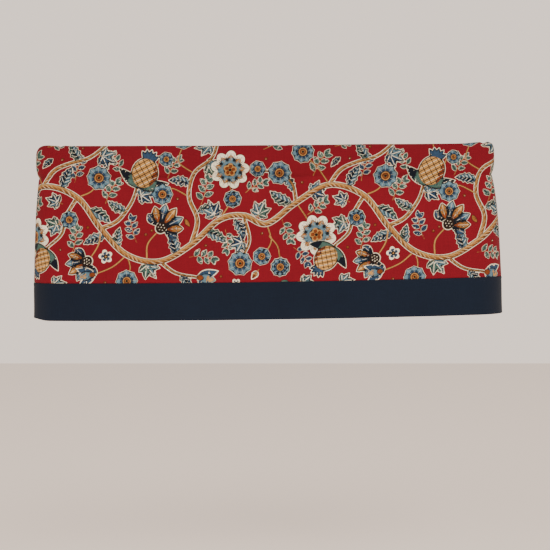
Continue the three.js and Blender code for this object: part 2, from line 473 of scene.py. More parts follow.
@dataclass
class SheetMesh:
    """The faces of a closed sheet, as rows and columns of points on an outer and an inner face.

    Attributes:
        points: every corner of the mesh, in metres.
        along: the place along the cloth of every corner, in millimetres.
        run: the length of cloth up to every corner, in millimetres.
        inside: 0 on the outer face and 1 on the inner face.
        loops: corners of the faces, one face after another.
        sizes: how many corners each face has.
        parts: 0 for outer faces, 1 for inner faces, and 2 to 5 for the raw edges' faces: at the first row,
            at the last row, at the left and at the right.
    """

    points: Array
    along: Array
    run: Array
    inside: Array
    loops: Array
    sizes: Array
    parts: Array

    @classmethod
    def hang(cls, form: ClothForm, path: SheetPath) -> SheetMesh:
        """Build both faces of a cloth and close its four edges.

        Args:
            form: the hanging shape.
            path: the cloth's way in section.

        Returns:
            The closed sheet.
        """
        along, half = path.along[None, :], path.thickness / 2
        outer = form.place(along, *path.face(half))
        rows, columns = outer.shape[:2]
        kept_rows, kept_columns = cls.every(rows, path.stride), cls.every(columns, path.stride)
        kept = np.ix_(kept_rows, kept_columns)
        inner = form.place(along, *path.face(-half - path.backing))[kept]
        grid = np.arange(rows * columns).reshape(rows, columns)
        under = np.arange(inner[..., 0].size).reshape(inner.shape[:2]) + grid.size
        up, across = cls.nearest(rows, kept_rows), cls.nearest(columns, kept_columns)
        quads = (
            cls.cells(grid[:-1, :-1], grid[:-1, 1:], grid[1:, 1:], grid[1:, :-1]),
            cls.cells(under[:-1, :-1], under[1:, :-1], under[1:, 1:], under[:-1, 1:]),
        )
        edges = (
            cls.edge(grid[0], under[0], across)[:, ::-1],
            cls.edge(grid[-1], under[-1], across),
            cls.edge(grid[:, 0], under[:, 0], up),
            cls.edge(grid[:, -1], under[:, -1], up)[:, ::-1],
        )
        four, three = np.concatenate(quads), np.concatenate(edges)
        all_along, all_run = np.broadcast_arrays(along, path.run[:, None])
        return cls(
            points=np.concatenate([outer.reshape(-1, 3), inner.reshape(-1, 3)]),
            along=np.concatenate([all_along.ravel(), all_along[kept].ravel()]),
            run=np.concatenate([all_run.ravel(), all_run[kept].ravel()]),
            inside=np.repeat([0.0, 1.0], [grid.size, under.size]),
            loops=np.concatenate([four.ravel(), three.ravel()]),
            sizes=np.repeat([4, 3], [len(four), len(three)]),
            parts=np.repeat(np.arange(6), [len(faces) for faces in (*quads, *edges)]),
        )

    @staticmethod
    def every(count: int, stride: int) -> Array:
        """Number every few rows or columns, with the last."""
        return np.unique(np.append(np.arange(0, count, stride), count - 1))

    @staticmethod
    def nearest(count: int, kept: Array) -> Array:
        """Give, for each row or column, which of the kept ones is nearest."""
        return np.abs(kept[None, :] - np.arange(count)[:, None]).argmin(axis=1)

    @staticmethod
    def cells(*corners: Array) -> Array:
        """Join four grids of corner numbers into a list of four-sided faces."""
        return np.stack([corner.ravel() for corner in corners], axis=1)

    @staticmethod
    def edge(outer: Array, inner: Array, near: Array) -> Array:
        """Close a raw edge between a fine line of corners and a coarse one with triangles.

        Args:
            outer: corner numbers of the fine line.
            inner: corner numbers of the coarse line.
            near: for each fine corner, which coarse one is nearest.

        Returns:
            The triangles.
        """
        low, high = near[:-1], near[1:]
        fans = np.stack([outer[:-1], outer[1:], inner[low]], axis=1)
        steps = np.stack([outer[1:], inner[high], inner[low]], axis=1)[low != high]
        return np.concatenate([fans, steps])

    def bake_map(self) -> Array:
        """Lay the sheet out flat in a unit square: the outer face over the inner face.

        Returns:
            Two numbers for each corner of each face. The raw edges lie on four thin strips between the two.
        """
        margin, half, strip = 0.01, 0.475, 0.006
        across = margin + (1.0 - 2.0 * margin) * (self.along - self.along.min()) / np.ptp(self.along)
        up = (self.run - self.run.min()) / np.ptp(self.run)
        part, corner = np.repeat(self.parts, self.sizes), self.loops
        low = np.where(part == 0, 1.0 - margin - half, margin)
        strips = margin + half + strip * (part - 1.5) + 0.5 * strip * self.inside[corner]
        ends = margin + (1.0 - 2.0 * margin) * up[corner]
        u = np.where(part > 3, ends, across[corner])
        v = np.where(part > 1, strips, low + half * up[corner])
        return np.stack([u, v], axis=1)

    def make(self, name: str, values: dict[str, Array]) -> bpy.types.Object:
        """Make the Blender object, with its maps and its named values at every corner.

        Args:
            name: of the object.
            values: for each attribute's name, one number or three for every corner.

        Returns:
            The object, smooth on both faces and sharp at the raw edges.
        """
        mesh = bpy.data.meshes.new(name)
        mesh.vertices.add(len(self.points))
        mesh.loops.add(len(self.loops))
        mesh.polygons.add(len(self.sizes))
        mesh.vertices.foreach_set("co", self.points.ravel())
        mesh.loops.foreach_set("vertex_index", self.loops.astype(np.int32))
        starts = np.concatenate([[0], np.cumsum(self.sizes)[:-1]])
        mesh.polygons.foreach_set("loop_start", starts.astype(np.int32))
        mesh.polygons.foreach_set("use_smooth", self.parts < 2)
        mesh.update(calc_edges=True)
        flat = np.stack([self.along, self.run], axis=1)[self.loops] * MM
        for title, places in ((CLOTH_MAP, flat), (BAKE_MAP, self.bake_map())):
            mesh.uv_layers.new(name=title).uv.foreach_set("vector", places.ravel())
        for title, numbers in values.items():
            kind = "FLOAT_VECTOR" if numbers.ndim == 2 else "FLOAT"
            layer = mesh.attributes.new(title, kind, "POINT")
            layer.data.foreach_set("vector" if numbers.ndim == 2 else "value", numbers.ravel())
        mesh.validate()
        item = bpy.data.objects.new(name, mesh)
        bpy.context.scene.collection.objects.link(item)
        return item


# The print


class Ink(Enum):
    """The print's inks and their colours on a screen, in the order in which they go on the cloth."""

    SHADE = (58, 12, 18)
    CREAM = (250, 238, 208)
    LINE = (16, 20, 28)
    OCHRE = (160, 104, 48)
    TEAL = (76, 106, 96)
    SLATE = (48, 72, 98)
    SKY = (100, 132, 146)
    NAVY = (15, 22, 36)
    SAND = (206, 152, 84)
    RUST = (140, 68, 30)
    DARK = (38, 24, 20)
    LIGHT = (252, 240, 212)


Inks = dict[Ink, Array]
Drawing = tuple[Inks, Array]
REPEAT = 686.0  # along the cloth, in millimetres
FAR = 60.0  # a distance from everything printed
EDGE = 1.1  # width of a motif's pale edge
BODY = 3.1  # how far inside its outline its body begins, past a dark line
WIDE_EDGE, WIDE_BODY = 1.3, 3.2  # the same of the large ones
NO_LINE = 0.25  # a count with no line on it


def join(*areas: Array) -> Array:
    """Give the distance to the nearest of some areas."""
    return np.minimum.reduce(areas)


def merge(*areas: Array, soft: float = 1.8) -> Array:
    """Join areas that grow into one another: the soft least distance, with no seam where edges cross."""
    limit = 40.0
    return -soft * np.log(np.sum([np.exp(-np.clip(area / soft, -limit, limit)) for area in areas], axis=0))


def meet(*areas: Array) -> Array:
    """Give the distance to what some areas share."""
    return np.maximum.reduce(areas)


def turned(x: Array, y: Array, degrees: float) -> tuple[Array, Array]:
    """Read points in axes turned by an angle."""
    c, s = math.cos(math.radians(degrees)), math.sin(math.radians(degrees))
    return c * x + s * y, c * y - s * x


def ring(x: Array, y: Array, count: int, turn: float = 0.0) -> tuple[Array, Array]:
    """Fold the plane into one of a number of equal sectors.

    Args:
        x: across.
        y: up.
        count: how many sectors there are.
        turn: the direction of the first sector's middle, in radians.

    Returns:
        The points in a sector whose middle is the x axis.
    """
    sector = 2.0 * math.pi / count
    angle = (np.arctan2(y, x) - turn + sector / 2) % sector - sector / 2
    distance = np.hypot(x, y)
    return distance * np.cos(angle), distance * np.sin(angle)


def oval(x: Array, y: Array, a: float, b: float) -> Array:
    """Give the distance to an oval with half axes a and b, under 0 inside and close to true at its edge."""
    reach, slope, least = np.hypot(x / a, y / b), np.hypot(x / a**2, y / b**2), 1e-6
    return np.where(slope > least, reach * (reach - 1.0) / np.maximum(slope, least), -min(a, b))


def blade(x: Array, y: Array, length: float, width: float, belly: float = 0.42, teeth: int = 0) -> Array:
    """Give the distance to a pointed leaf or petal along the x axis, under 0 inside.

    Its half width is a power of a sine, which is widest at the belly, and round bites leave teeth on it.
    Known flaw: where rounding makes t * length differ from x, a point inside is measured as on the edge,
    which speckles the print. A tolerance in place of the comparison with 0 would mend it.

    Args:
        x: along the leaf.
        y: across it.
        length: of the leaf.
        width: at the belly.
        belly: share of the length where it is widest.
        teeth: how many teeth each edge has.

    Returns:
        The distance at each point.
    """
    power, bite, lean = 0.85, 0.24, 0.9
    t = np.clip(x / length, 0.0, 1.0)
    half = 0.5 * width * np.sin(math.pi * t ** (math.log(0.5) / math.log(belly))) ** power
    half = half * (1.0 - bite * np.abs(np.sin(math.pi * t * teeth)))
    past = x - t * length
    outside = np.hypot(past, np.maximum(np.abs(y) - half, 0.0))
    return np.where(past != 0.0, outside, (np.abs(y) - half) * lean)


def spokes(x: Array, y: Array, count: float, turn: float = 0.0) -> tuple[Array, Array]:
    """Count sectors round a point: a half in the middle of each and a whole number between two of them.

    Args:
        x: across.
        y: up.
        count: how many sectors a full turn has.
        turn: the direction of the first sector's middle, in radians.

    Returns:
        The count, and a share that is 0 only along the line where the count starts again.
    """
    fade = 4.0
    px, py = turned(x, y, math.degrees(turn))
    clear = smooth(np.where(px < 0.0, np.abs(py), FAR) / fade)
    return 0.5 + np.arctan2(py, px) * count / (2.0 * math.pi), clear


def rib(across: Array, width: float = 7.0) -> Array:
    """Count 0 along a line and a half from some way to each side of it on."""
    return np.clip(across / width, -0.5, 0.5)


def drawn(first: Array | float, second: Array | float, weight: Array) -> Array:
    """Put the two counts of the drawn lines beside their weight, as the last axis."""
    return np.stack(np.broadcast_arrays(first, second, weight), axis=-1)


def no_lines(x: Array) -> Array:
    """Draw no line at any of some points."""
    return drawn(NO_LINE, NO_LINE, np.zeros(x.shape))


def depth(inks: Inks) -> Array:
    """Give how far each point is inside a motif."""
    return -join(*inks.values())


class PrintField:
    """What is printed at each point of some cloth.

    Attributes:
        along: places along the cloth.
        up: heights over the seam, measured on the cloth.
        edge: for each ink, how far the point is from its edge, in millimetres, under 0 in the ink.
        cover: how far it is from anything printed.
        tone: how light the inks are.
        lines: two counts and a weight. A dark line is drawn where a count is a whole number and a pale one
            midway between two of the first count, as wide as the weight, from 0 to 1, says.
        trap: how far round a motif it clears away what was printed before.
        hush: how far round a motif the lines drawn before fade out.
    """

    trap: float = 0.7
    hush: float = 4.0

    def __init__(self, along: Array, up: Array) -> None:
        """Start with bare cloth.

        Args:
            along: places along the cloth.
            up: heights over the seam, measured on the cloth.
        """
        self.along, self.up = along, up
        self.edge = {ink: np.full(along.shape, FAR) for ink in Ink}
        self.cover = np.full(along.shape, FAR)
        self.tone = np.ones(along.shape)
        self.lines = np.tile((NO_LINE, NO_LINE, 0.0), (along.size, 1))

    def near(self, along: float, up: float, reach: float) -> tuple[Array, Array, Array]:
        """Find the points round a place, which comes again at every repeat.

        Args:
            along: the place along the cloth.
            up: the place up the cloth.
            reach: half the side of the square that is wanted.

        Returns:
            Numbers of the points, and their two distances from the place.
        """
        across = (self.along - along + REPEAT / 2) % REPEAT - REPEAT / 2
        height = self.up - up
        at = np.flatnonzero((np.abs(across) < reach) & (np.abs(height) < reach))
        return at, across[at], height[at]

    def stamp(self, at: Array, inks: Inks, tone: Array, lines: Array) -> None:
        """Print a motif over what is there.

        Args:
            at: numbers of the points that it may touch.
            inks: the distance to each of its inks at those points.
            tone: how light its inks are at those points.
            lines: its drawn lines at those points.
        """
        whole = -depth(inks)
        for ink in Ink:
            self.edge[ink][at] = np.maximum(self.edge[ink][at], -whole - self.trap)
        for ink, distance in inks.items():
            self.edge[ink][at] = np.minimum(self.edge[ink][at], distance)
        self.cover[at] = np.minimum(self.cover[at], whole)
        self.tone[at] = np.where(whole < 2.0 * self.trap, tone, self.tone[at])
        self.lines[at, 2] *= smooth(whole / self.hush)
        self.lines[at] = np.where(whole[:, None] < 0.0, lines, self.lines[at])


@dataclass(frozen=True)
class Motif:
    """Something printed on the cloth, in millimetres.

    Attributes:
        u: place along the repeat.
        v: height over the seam.
        size: length from its base, or radius.
        turn: its direction in degrees, from the right toward the top.
    """

    u: float
    v: float
    size: float
    turn: float = 0.0

    reach, margin = 1.3, 6.0  # how far it may go from its place: in sizes, and past that
    foot_tone, tip_tone, side_tone = 0.74, 0.34, 0.08  # how light its foot is, and what is added

    def put(self, field: PrintField) -> None:
        """Print the motif.

        Args:
            field: the cloth to print on.
        """
        at, across, height = field.near(self.u, self.v, self.size * self.reach + self.margin)
        x, y = turned(across, height, self.turn)
        inks, lines = self.draw(x, y)
        field.stamp(at, inks, self.tone(x, y), lines)

    def tone(self, x: Array, y: Array) -> Array:
        """Work out how light the motif's inks are: darker toward its foot, and on its lower side."""
        out, side = np.clip(np.hypot(x, y) / self.size, 0.0, 1.0), np.clip(y / self.size, -1.0, 1.0)
        return self.foot_tone + self.tip_tone * out + self.side_tone * side

    def draw(self, x: Array, y: Array) -> Drawing:
        """Work out the motif's inks and drawn lines from places along it and across it."""
        raise NotImplementedError


@dataclass(frozen=True)
class Rosette(Motif):
    """A round flower of pointed petals in two rows, with a ringed eye.

    Attributes:
        petals: how many each row has.
    """

    petals: int = 9

    def draw(self, x: Array, y: Array) -> Drawing:
        """Turn the second row by half a petal, and draw a pale streak down each petal and a dark one beside.

        Args:
            x: places along the motif.
            y: places across it.

        Returns:
            Its inks and its lines.
        """
        size, width, r = self.size, 2.35 * self.size * math.sin(math.pi / self.petals), np.hypot(x, y)
        front = blade(*ring(x, y, self.petals), size, width, 0.6)
        back = blade(*ring(x, y, self.petals, math.pi / self.petals), 0.88 * size, width, 0.6)
        petals = merge(front, back, r - 0.62 * size)
        inks = {
            Ink.CREAM: petals,
            Ink.LINE: petals + EDGE,
            Ink.SLATE: front + BODY,
            Ink.SKY: meet(front + BODY, 0.58 * size - r),
            Ink.NAVY: r - 0.43 * size,
            Ink.SAND: r - 0.36 * size,
            Ink.RUST: meet(r - 0.28 * size, 0.14 * size - r),
            Ink.DARK: r - 0.12 * size,
        }
        count, clear = spokes(x, y, self.petals)
        weight = ramp(depth(inks), 1.5, 4.0) * ramp(r / size, 0.36, 0.1) * mix(0.55, 0.2, r / size)
        return inks, drawn(count, NO_LINE, weight * clear)


@dataclass(frozen=True)
class Peony(Motif):
    """A full flower of three rows of round petals."""

    def draw(self, x: Array, y: Array) -> Drawing:
        """Lay blue petals in a dark line and an ochre heart over pale petals, which have rays and ochre feet.

        Args:
            x: places along the motif.
            y: places across it.

        Returns:
            Its inks and its lines.
        """
        size, r, first, petals = self.size, np.hypot(x, y), 0.1, []
        # Rows: petals, place, half length and half width in sizes, and turn
        for row in ((9, 0.7, 0.3, 0.26, first), (7, 0.42, 0.25, 0.22, 0.5), (5, 0.19, 0.17, 0.15, 0.2)):
            number, at, long, wide, turn = row
            px, py = ring(x, y, number, turn)
            petals.append(oval(px - at * size, py, long * size, wide * size))
        outer, middle, heart = petals
        feet = 0.68 * size + 0.1 * size * np.cos(9.0 * (np.arctan2(y, x) - first))
        inks = {
            Ink.SHADE: outer - 1.2,
            Ink.CREAM: join(outer, r - 0.72 * size),
            Ink.OCHRE: meet(outer + 3.0, r - feet),
            Ink.SKY: middle + 1.6,
            Ink.SLATE: meet(middle - 0.2, -(middle + 1.6)),
            Ink.NAVY: join(r - 0.34 * size, meet(middle - 0.2, 0.47 * size - r, r - 0.5 * size)),
            Ink.SAND: heart,
            Ink.RUST: meet(heart + 0.06 * size, r - 0.27 * size),
            Ink.DARK: r - 0.08 * size,
        }
        r = r / size
        weight = ramp(depth(inks), 1.0, 5.0) * ramp(r, 0.4, 0.14) * mix(1.0, 0.15, ramp(r, 0.5, 0.5))
        count, clear = spokes(x, y, 9, first)
        return inks, drawn(count, 3.0 * (count - 0.5), weight * clear)


@dataclass(frozen=True)
class Palmette(Motif):
    """A fan of seven pointed petals out of a beaded cup."""

    def draw(self, x: Array, y: Array) -> Drawing:
        """Fan the blades, shorter to the sides, ochre and blue in turn, and draw streaks down them.

        Args:
            x: places along the motif.
            y: places across it.

        Returns:
            Its inks and its lines.
        """
        size, r, step, petals = self.size, np.hypot(x, y), 25.0, []
        for k in range(-3, 4):
            px, py = turned(x, y, step * k)
            petals.append(blade(px - 0.14 * size, py, size * (0.86 - 0.03 * k * k), 0.36 * size, 0.58))
        warm, cool = join(*petals[1::2]), join(*petals[::2])
        cup = oval(x - 0.1 * size, y, 0.22 * size, 0.19 * size)
        bx, by = ring(x - 0.1 * size, y, 6)
        under = meet(cool + WIDE_BODY, 0.7 - warm)
        inks = {
            Ink.CREAM: join(*petals, cup - 2.2),
            Ink.LINE: merge(*petals) + WIDE_EDGE,
            Ink.OCHRE: warm + WIDE_BODY,
            Ink.SLATE: under,
            Ink.SKY: meet(under, 0.7 * size - r),
            Ink.NAVY: meet(under, r - 0.42 * size),
            Ink.RUST: meet(warm + WIDE_BODY, r - 0.46 * size),
            Ink.SAND: meet(warm + 4.6, 0.72 * size - r),
            Ink.DARK: cup,
            Ink.LIGHT: join(np.hypot(bx - 0.11 * size, by) - 1.7, np.hypot(x - 0.1 * size, y) - 1.7),
        }
        count, clear = spokes(x, y, 360.0 / step)
        weight = ramp(depth(inks), 1.5, 4.0) * ramp(r / size, 0.34, 0.1) * mix(0.7, 0.25, r / size)
        return inks, drawn(count, NO_LINE, weight * clear)


@dataclass(frozen=True)
class Pomegranate(Motif):
    """A fruit in a net of bands, with a leafy crown and two leaves at its stalk."""

    def draw(self, x: Array, y: Array) -> Drawing:
        """Lay a slanting net over an oval, with blades round it and a rib up each leaf.

        Args:
            x: places along the motif.
            y: places across it.

        Returns:
            Its inks and its lines.
        """
        size, slant, mesh = self.size, 62.0, 0.2 * self.size
        fruit = oval(x - 0.42 * size, y, 0.42 * size, 0.36 * size)
        crown = [turned(x - 0.74 * size, y, 24.0 * k) for k in range(-2, 3)]
        tips = join(*[blade(cx, cy, 0.34 * size, 0.17 * size) for cx, cy in crown])
        leaves = [turned(x, y, angle) for angle in (-slant, slant)]
        ears = join(*[blade(ex, ey, 0.78 * size, 0.3 * size, 0.45) for ex, ey in leaves])
        inks = {
            Ink.CREAM: join(fruit, tips, ears),
            Ink.LINE: merge(fruit, tips, ears) + WIDE_EDGE,
            Ink.TEAL: ears + WIDE_BODY,
            Ink.SLATE: tips + 3.0,
            Ink.NAVY: meet(ears + WIDE_BODY, 0.36 * size - np.abs(y)),
            Ink.SAND: fruit + 3.4,
            Ink.RUST: meet(fruit + 3.4, y + 0.2 * size),
        }
        ribs, on_fruit = rib(turned(x, np.abs(y), slant)[1]), fruit < 0.0
        first = np.where(on_fruit, (x + y) / mesh, NO_LINE)
        second = np.where(on_fruit, (x - y) / mesh, ribs)
        beside = ramp(depth(inks), 2.0, 4.0) * ramp(fruit, 1.5, 3.0)
        return inks, drawn(first, second, np.where(on_fruit, 0.55 * ramp(-fruit, 2.0, 3.0), beside))


@dataclass(frozen=True)
class VineLeaf(Motif):
    """A leaf of five pointed lobes, each with a rib, dark on one side and light on the other.

    Attributes:
        fill: the ink of its body.
    """

    fill: Ink = Ink.TEAL

    def draw(self, x: Array, y: Array) -> Drawing:
        """Spread toothed blades from one point on a stalk, each with a pale rib between two dark lines.

        Args:
            x: places along the motif.
            y: places across it.

        Returns:
            Its inks and its lines.
        """
        size, base, lobes, runs, sides = self.size, 0.3 * self.size, [], [], []
        for angle, share in ((-88.0, 0.42), (-42.0, 0.6), (0.0, 0.7), (42.0, 0.6), (88.0, 0.42)):
            px, py = turned(x - base, y, angle)
            lobes.append(blade(px, py, share * size, 0.36 * size, 0.4, 3))
            runs.append(px)
            sides.append(py)
        leaf = merge(*lobes, np.hypot(x - base, y) - 0.12 * size)
        under = join(*[meet(lobe + 3.0, side) for lobe, side in zip(lobes, sides)])
        inks = {
            Ink.CREAM: leaf,
            Ink.LINE: leaf + EDGE,
            self.fill: leaf + BODY,
            Ink.SKY: meet(leaf + BODY, -(leaf + 0.12 * size), -y),
            Ink.NAVY: meet(under, leaf + 0.1 * size),
            Ink.SAND: meet(np.abs(y) - 1.2, x - base, -x),
        }
        nearest, second = np.sort(lobes, axis=0)[:2]
        which = np.argmin(lobes, axis=0)
        across = np.choose(which, [side * (-1) ** number for number, side in enumerate(sides)])
        clear = smooth((second - nearest) / 3.0)
        weight = ramp(depth(inks), 1.0, 4.0) * clear * mix(0.9, 0.5, np.choose(which, runs) / size)
        return inks, drawn(rib(across, 14.0) + 0.5, NO_LINE, weight)


@dataclass(frozen=True)
class BentMotif(Motif):
    """A motif along a bent line.

    Attributes:
        bend: how far its middle stands off a straight line, in quarters of its length.
        fill: the ink of its body.
    """

    bend: float = 0.25
    fill: Ink = Ink.TEAL

    def bent(self, x: Array, y: Array) -> Array:
        """Measure across the motif from its bent middle, a parabola."""
        return y - self.bend * x * (1.0 - x / self.size)


@dataclass(frozen=True)
class Sprig(BentMotif):
    """A thin curved twig with small leaves to each side in turn, and one at its tip."""

    def draw(self, x: Array, y: Array) -> Drawing:
        """Set blades at even steps along a bent line, with a dark rib up each one.

        Args:
            x: places along the motif.
            y: places across it.

        Returns:
            Its inks and its lines.
        """
        size, y = self.size, self.bent(x, y)
        leaves, sides = [], []
        for number, share in enumerate((0.2, 0.32, 0.46, 0.58, 0.7, 0.82)):
            px, py = turned(x - share * size, y, 58.0 * (-1) ** number)
            leaves.append(blade(px, py, (0.36 - 0.1 * share) * size, 0.19 * size, 0.45))
            sides.append(py)
        leaves.append(blade(x - 0.84 * size, y, 0.28 * size, 0.17 * size, 0.45))
        whole = join(*leaves)
        inks = {
            Ink.CREAM: whole,
            self.fill: whole + 0.8,
            Ink.SAND: meet(np.abs(y) - 1.0, x - 0.86 * size, -x),
        }
        across = np.choose(np.argmin(leaves, axis=0), [*sides, y])
        return inks, drawn(NO_LINE, rib(across, 6.0), 0.9 * smooth(depth(inks) / 2.5))


@dataclass(frozen=True)
class Bud(Motif):
    """A closed bud in two sepals, on a short stalk."""

    def draw(self, x: Array, y: Array) -> Drawing:
        """Set a blade with a dark middle between two small ones.

        Args:
            x: places along the motif.
            y: places across it.

        Returns:
            Its inks, and no lines.
        """
        size = self.size
        bud = blade(x - 0.25 * size, y, 0.75 * size, 0.46 * size, 0.42)
        sides = [turned(x - 0.22 * size, y, angle) for angle in (-34.0, 34.0)]
        sepals = join(*[blade(px, py, 0.5 * size, 0.2 * size) for px, py in sides])
        stalk = meet(np.abs(y) - 1.1, x - 0.3 * size, -x)
        return {
            Ink.CREAM: join(bud, sepals),
            Ink.SLATE: sepals + 1.3,
            Ink.SAND: join(bud + 2.2, stalk),
            Ink.RUST: meet(bud + 2.2, 0.55 * size - x),
            Ink.DARK: meet(np.abs(y) - 0.9, bud + 2.0),
        }, no_lines(x)


@dataclass(frozen=True)
class Tulip(Motif):
    """A flower seen from the side: two outer petals over a middle one."""

    def draw(self, x: Array, y: Array) -> Drawing:
        """Set three blades in a small cup.

        Args:
            x: places along the motif.
            y: places across it.

        Returns:
            Its inks, and no lines.
        """
        size = self.size
        sides = [turned(x, y, angle) for angle in (-26.0, 26.0)]
        outer = join(*[blade(px, py, size, 0.46 * size, 0.4) for px, py in sides])
        middle = blade(x, y, 0.86 * size, 0.44 * size, 0.5)
        cup = oval(x - 0.13 * size, y, 0.15 * size, 0.12 * size)
        return {
            Ink.CREAM: join(outer, middle),
            Ink.SLATE: outer + 2.2,
            Ink.SKY: middle + 1.4,
            Ink.NAVY: np.abs(middle) - 1.1,
            Ink.SAND: meet(middle + 3.5, 0.42 * size - x),
            Ink.RUST: cup,
            Ink.DARK: np.abs(cup) - 0.9,
        }, no_lines(x)


@dataclass(frozen=True)
class Blossom(Motif):
    """A small flower of five round petals."""

    def draw(self, x: Array, y: Array) -> Drawing:
        """Set five ovals round an eye.

        Args:
            x: places along the motif.
            y: places across it.

        Returns:
            Its inks, and no lines.
        """
        size, r = self.size, np.hypot(x, y)
        px, py = ring(x, y, 5)
        petals = oval(px - 0.58 * size, py, 0.42 * size, 0.36 * size)
        return {
            Ink.CREAM: join(petals, r - 0.4 * size),
            Ink.SLATE: meet(petals + 1.8, r - 0.66 * size),
            Ink.NAVY: r - 0.32 * size,
            Ink.SAND: r - 0.15 * size,
        }, no_lines(x)


@dataclass(frozen=True)
class Pod(Motif):
    """A dark seed pod with two rows of pale beads."""

    def draw(self, x: Array, y: Array) -> Drawing:
        """Set beads at even steps on a long oval.

        Args:
            x: places along the motif.
            y: places across it.

        Returns:
            Its inks, and no lines.
        """
        size, step = self.size, 0.2 * self.size
        pod = oval(x - 0.5 * size, y, 0.5 * size, 0.22 * size)
        beads = np.hypot((x / step % 1.0 - 0.5) * step, np.abs(y) - 0.09 * size) - 1.35
        return {Ink.CREAM: pod - 1.4, Ink.NAVY: pod, Ink.LIGHT: meet(beads, pod + 1.6)}, no_lines(x)


@dataclass(frozen=True)
class Berry(Motif):
    """A round berry with a light on it."""

    def draw(self, x: Array, y: Array) -> Drawing:
        """Set a dot in a dark line.

        Args:
            x: places along the motif.
            y: places across it.

        Returns:
            Its inks, and no lines.
        """
        size, r = self.size, np.hypot(x, y)
        light = np.hypot(x - 0.3 * size, y - 0.3 * size) - 0.36 * size
        return {Ink.SHADE: r - size - 0.9, Ink.RUST: r - size, Ink.LIGHT: light}, no_lines(x)


@dataclass(frozen=True)
class Leaf(BentMotif):
    """A toothed leaf with a pale edge, one half dark and one half light, and veins.

    Attributes:
        teeth: how many teeth each edge has.
    """

    teeth: int = 5

    def draw(self, x: Array, y: Array) -> Drawing:
        """Bend a blade, with a dark middle vein, side veins and a pale streak between each two.

        Args:
            x: places along the motif.
            y: places across it.

        Returns:
            Its inks and its lines.
        """
        size, y = self.size, self.bent(x, y)
        leaf = blade(x, y, size, 0.54 * size, 0.42, self.teeth)
        inks = {
            Ink.CREAM: leaf,
            Ink.LINE: leaf + EDGE,
            self.fill: leaf + BODY,
            Ink.SKY: meet(leaf + BODY, y),
            Ink.NAVY: meet(leaf + 0.12 * size, -y),
        }
        veins = (x - 0.95 * np.abs(y)) / max(0.17 * size, 7.0)
        return inks, drawn(veins, rib(y), 0.85 * ramp(depth(inks), 1.2, 5.0))


@dataclass(frozen=True)
class Frond(BentMotif):
    """A plain small leaf with a pale middle vein."""

    def draw(self, x: Array, y: Array) -> Drawing:
        """Bend a blade in a dark line.

        Args:
            x: places along the motif.
            y: places across it.

        Returns:
            Its inks, and no lines.
        """
        y = self.bent(x, y)
        leaf = blade(x, y, self.size, 0.42 * self.size, 0.45)
        vein = meet(np.abs(y) - 0.9, leaf + 1.0)
        return {Ink.SHADE: leaf - 1.1, self.fill: leaf, Ink.SAND: vein}, no_lines(x)


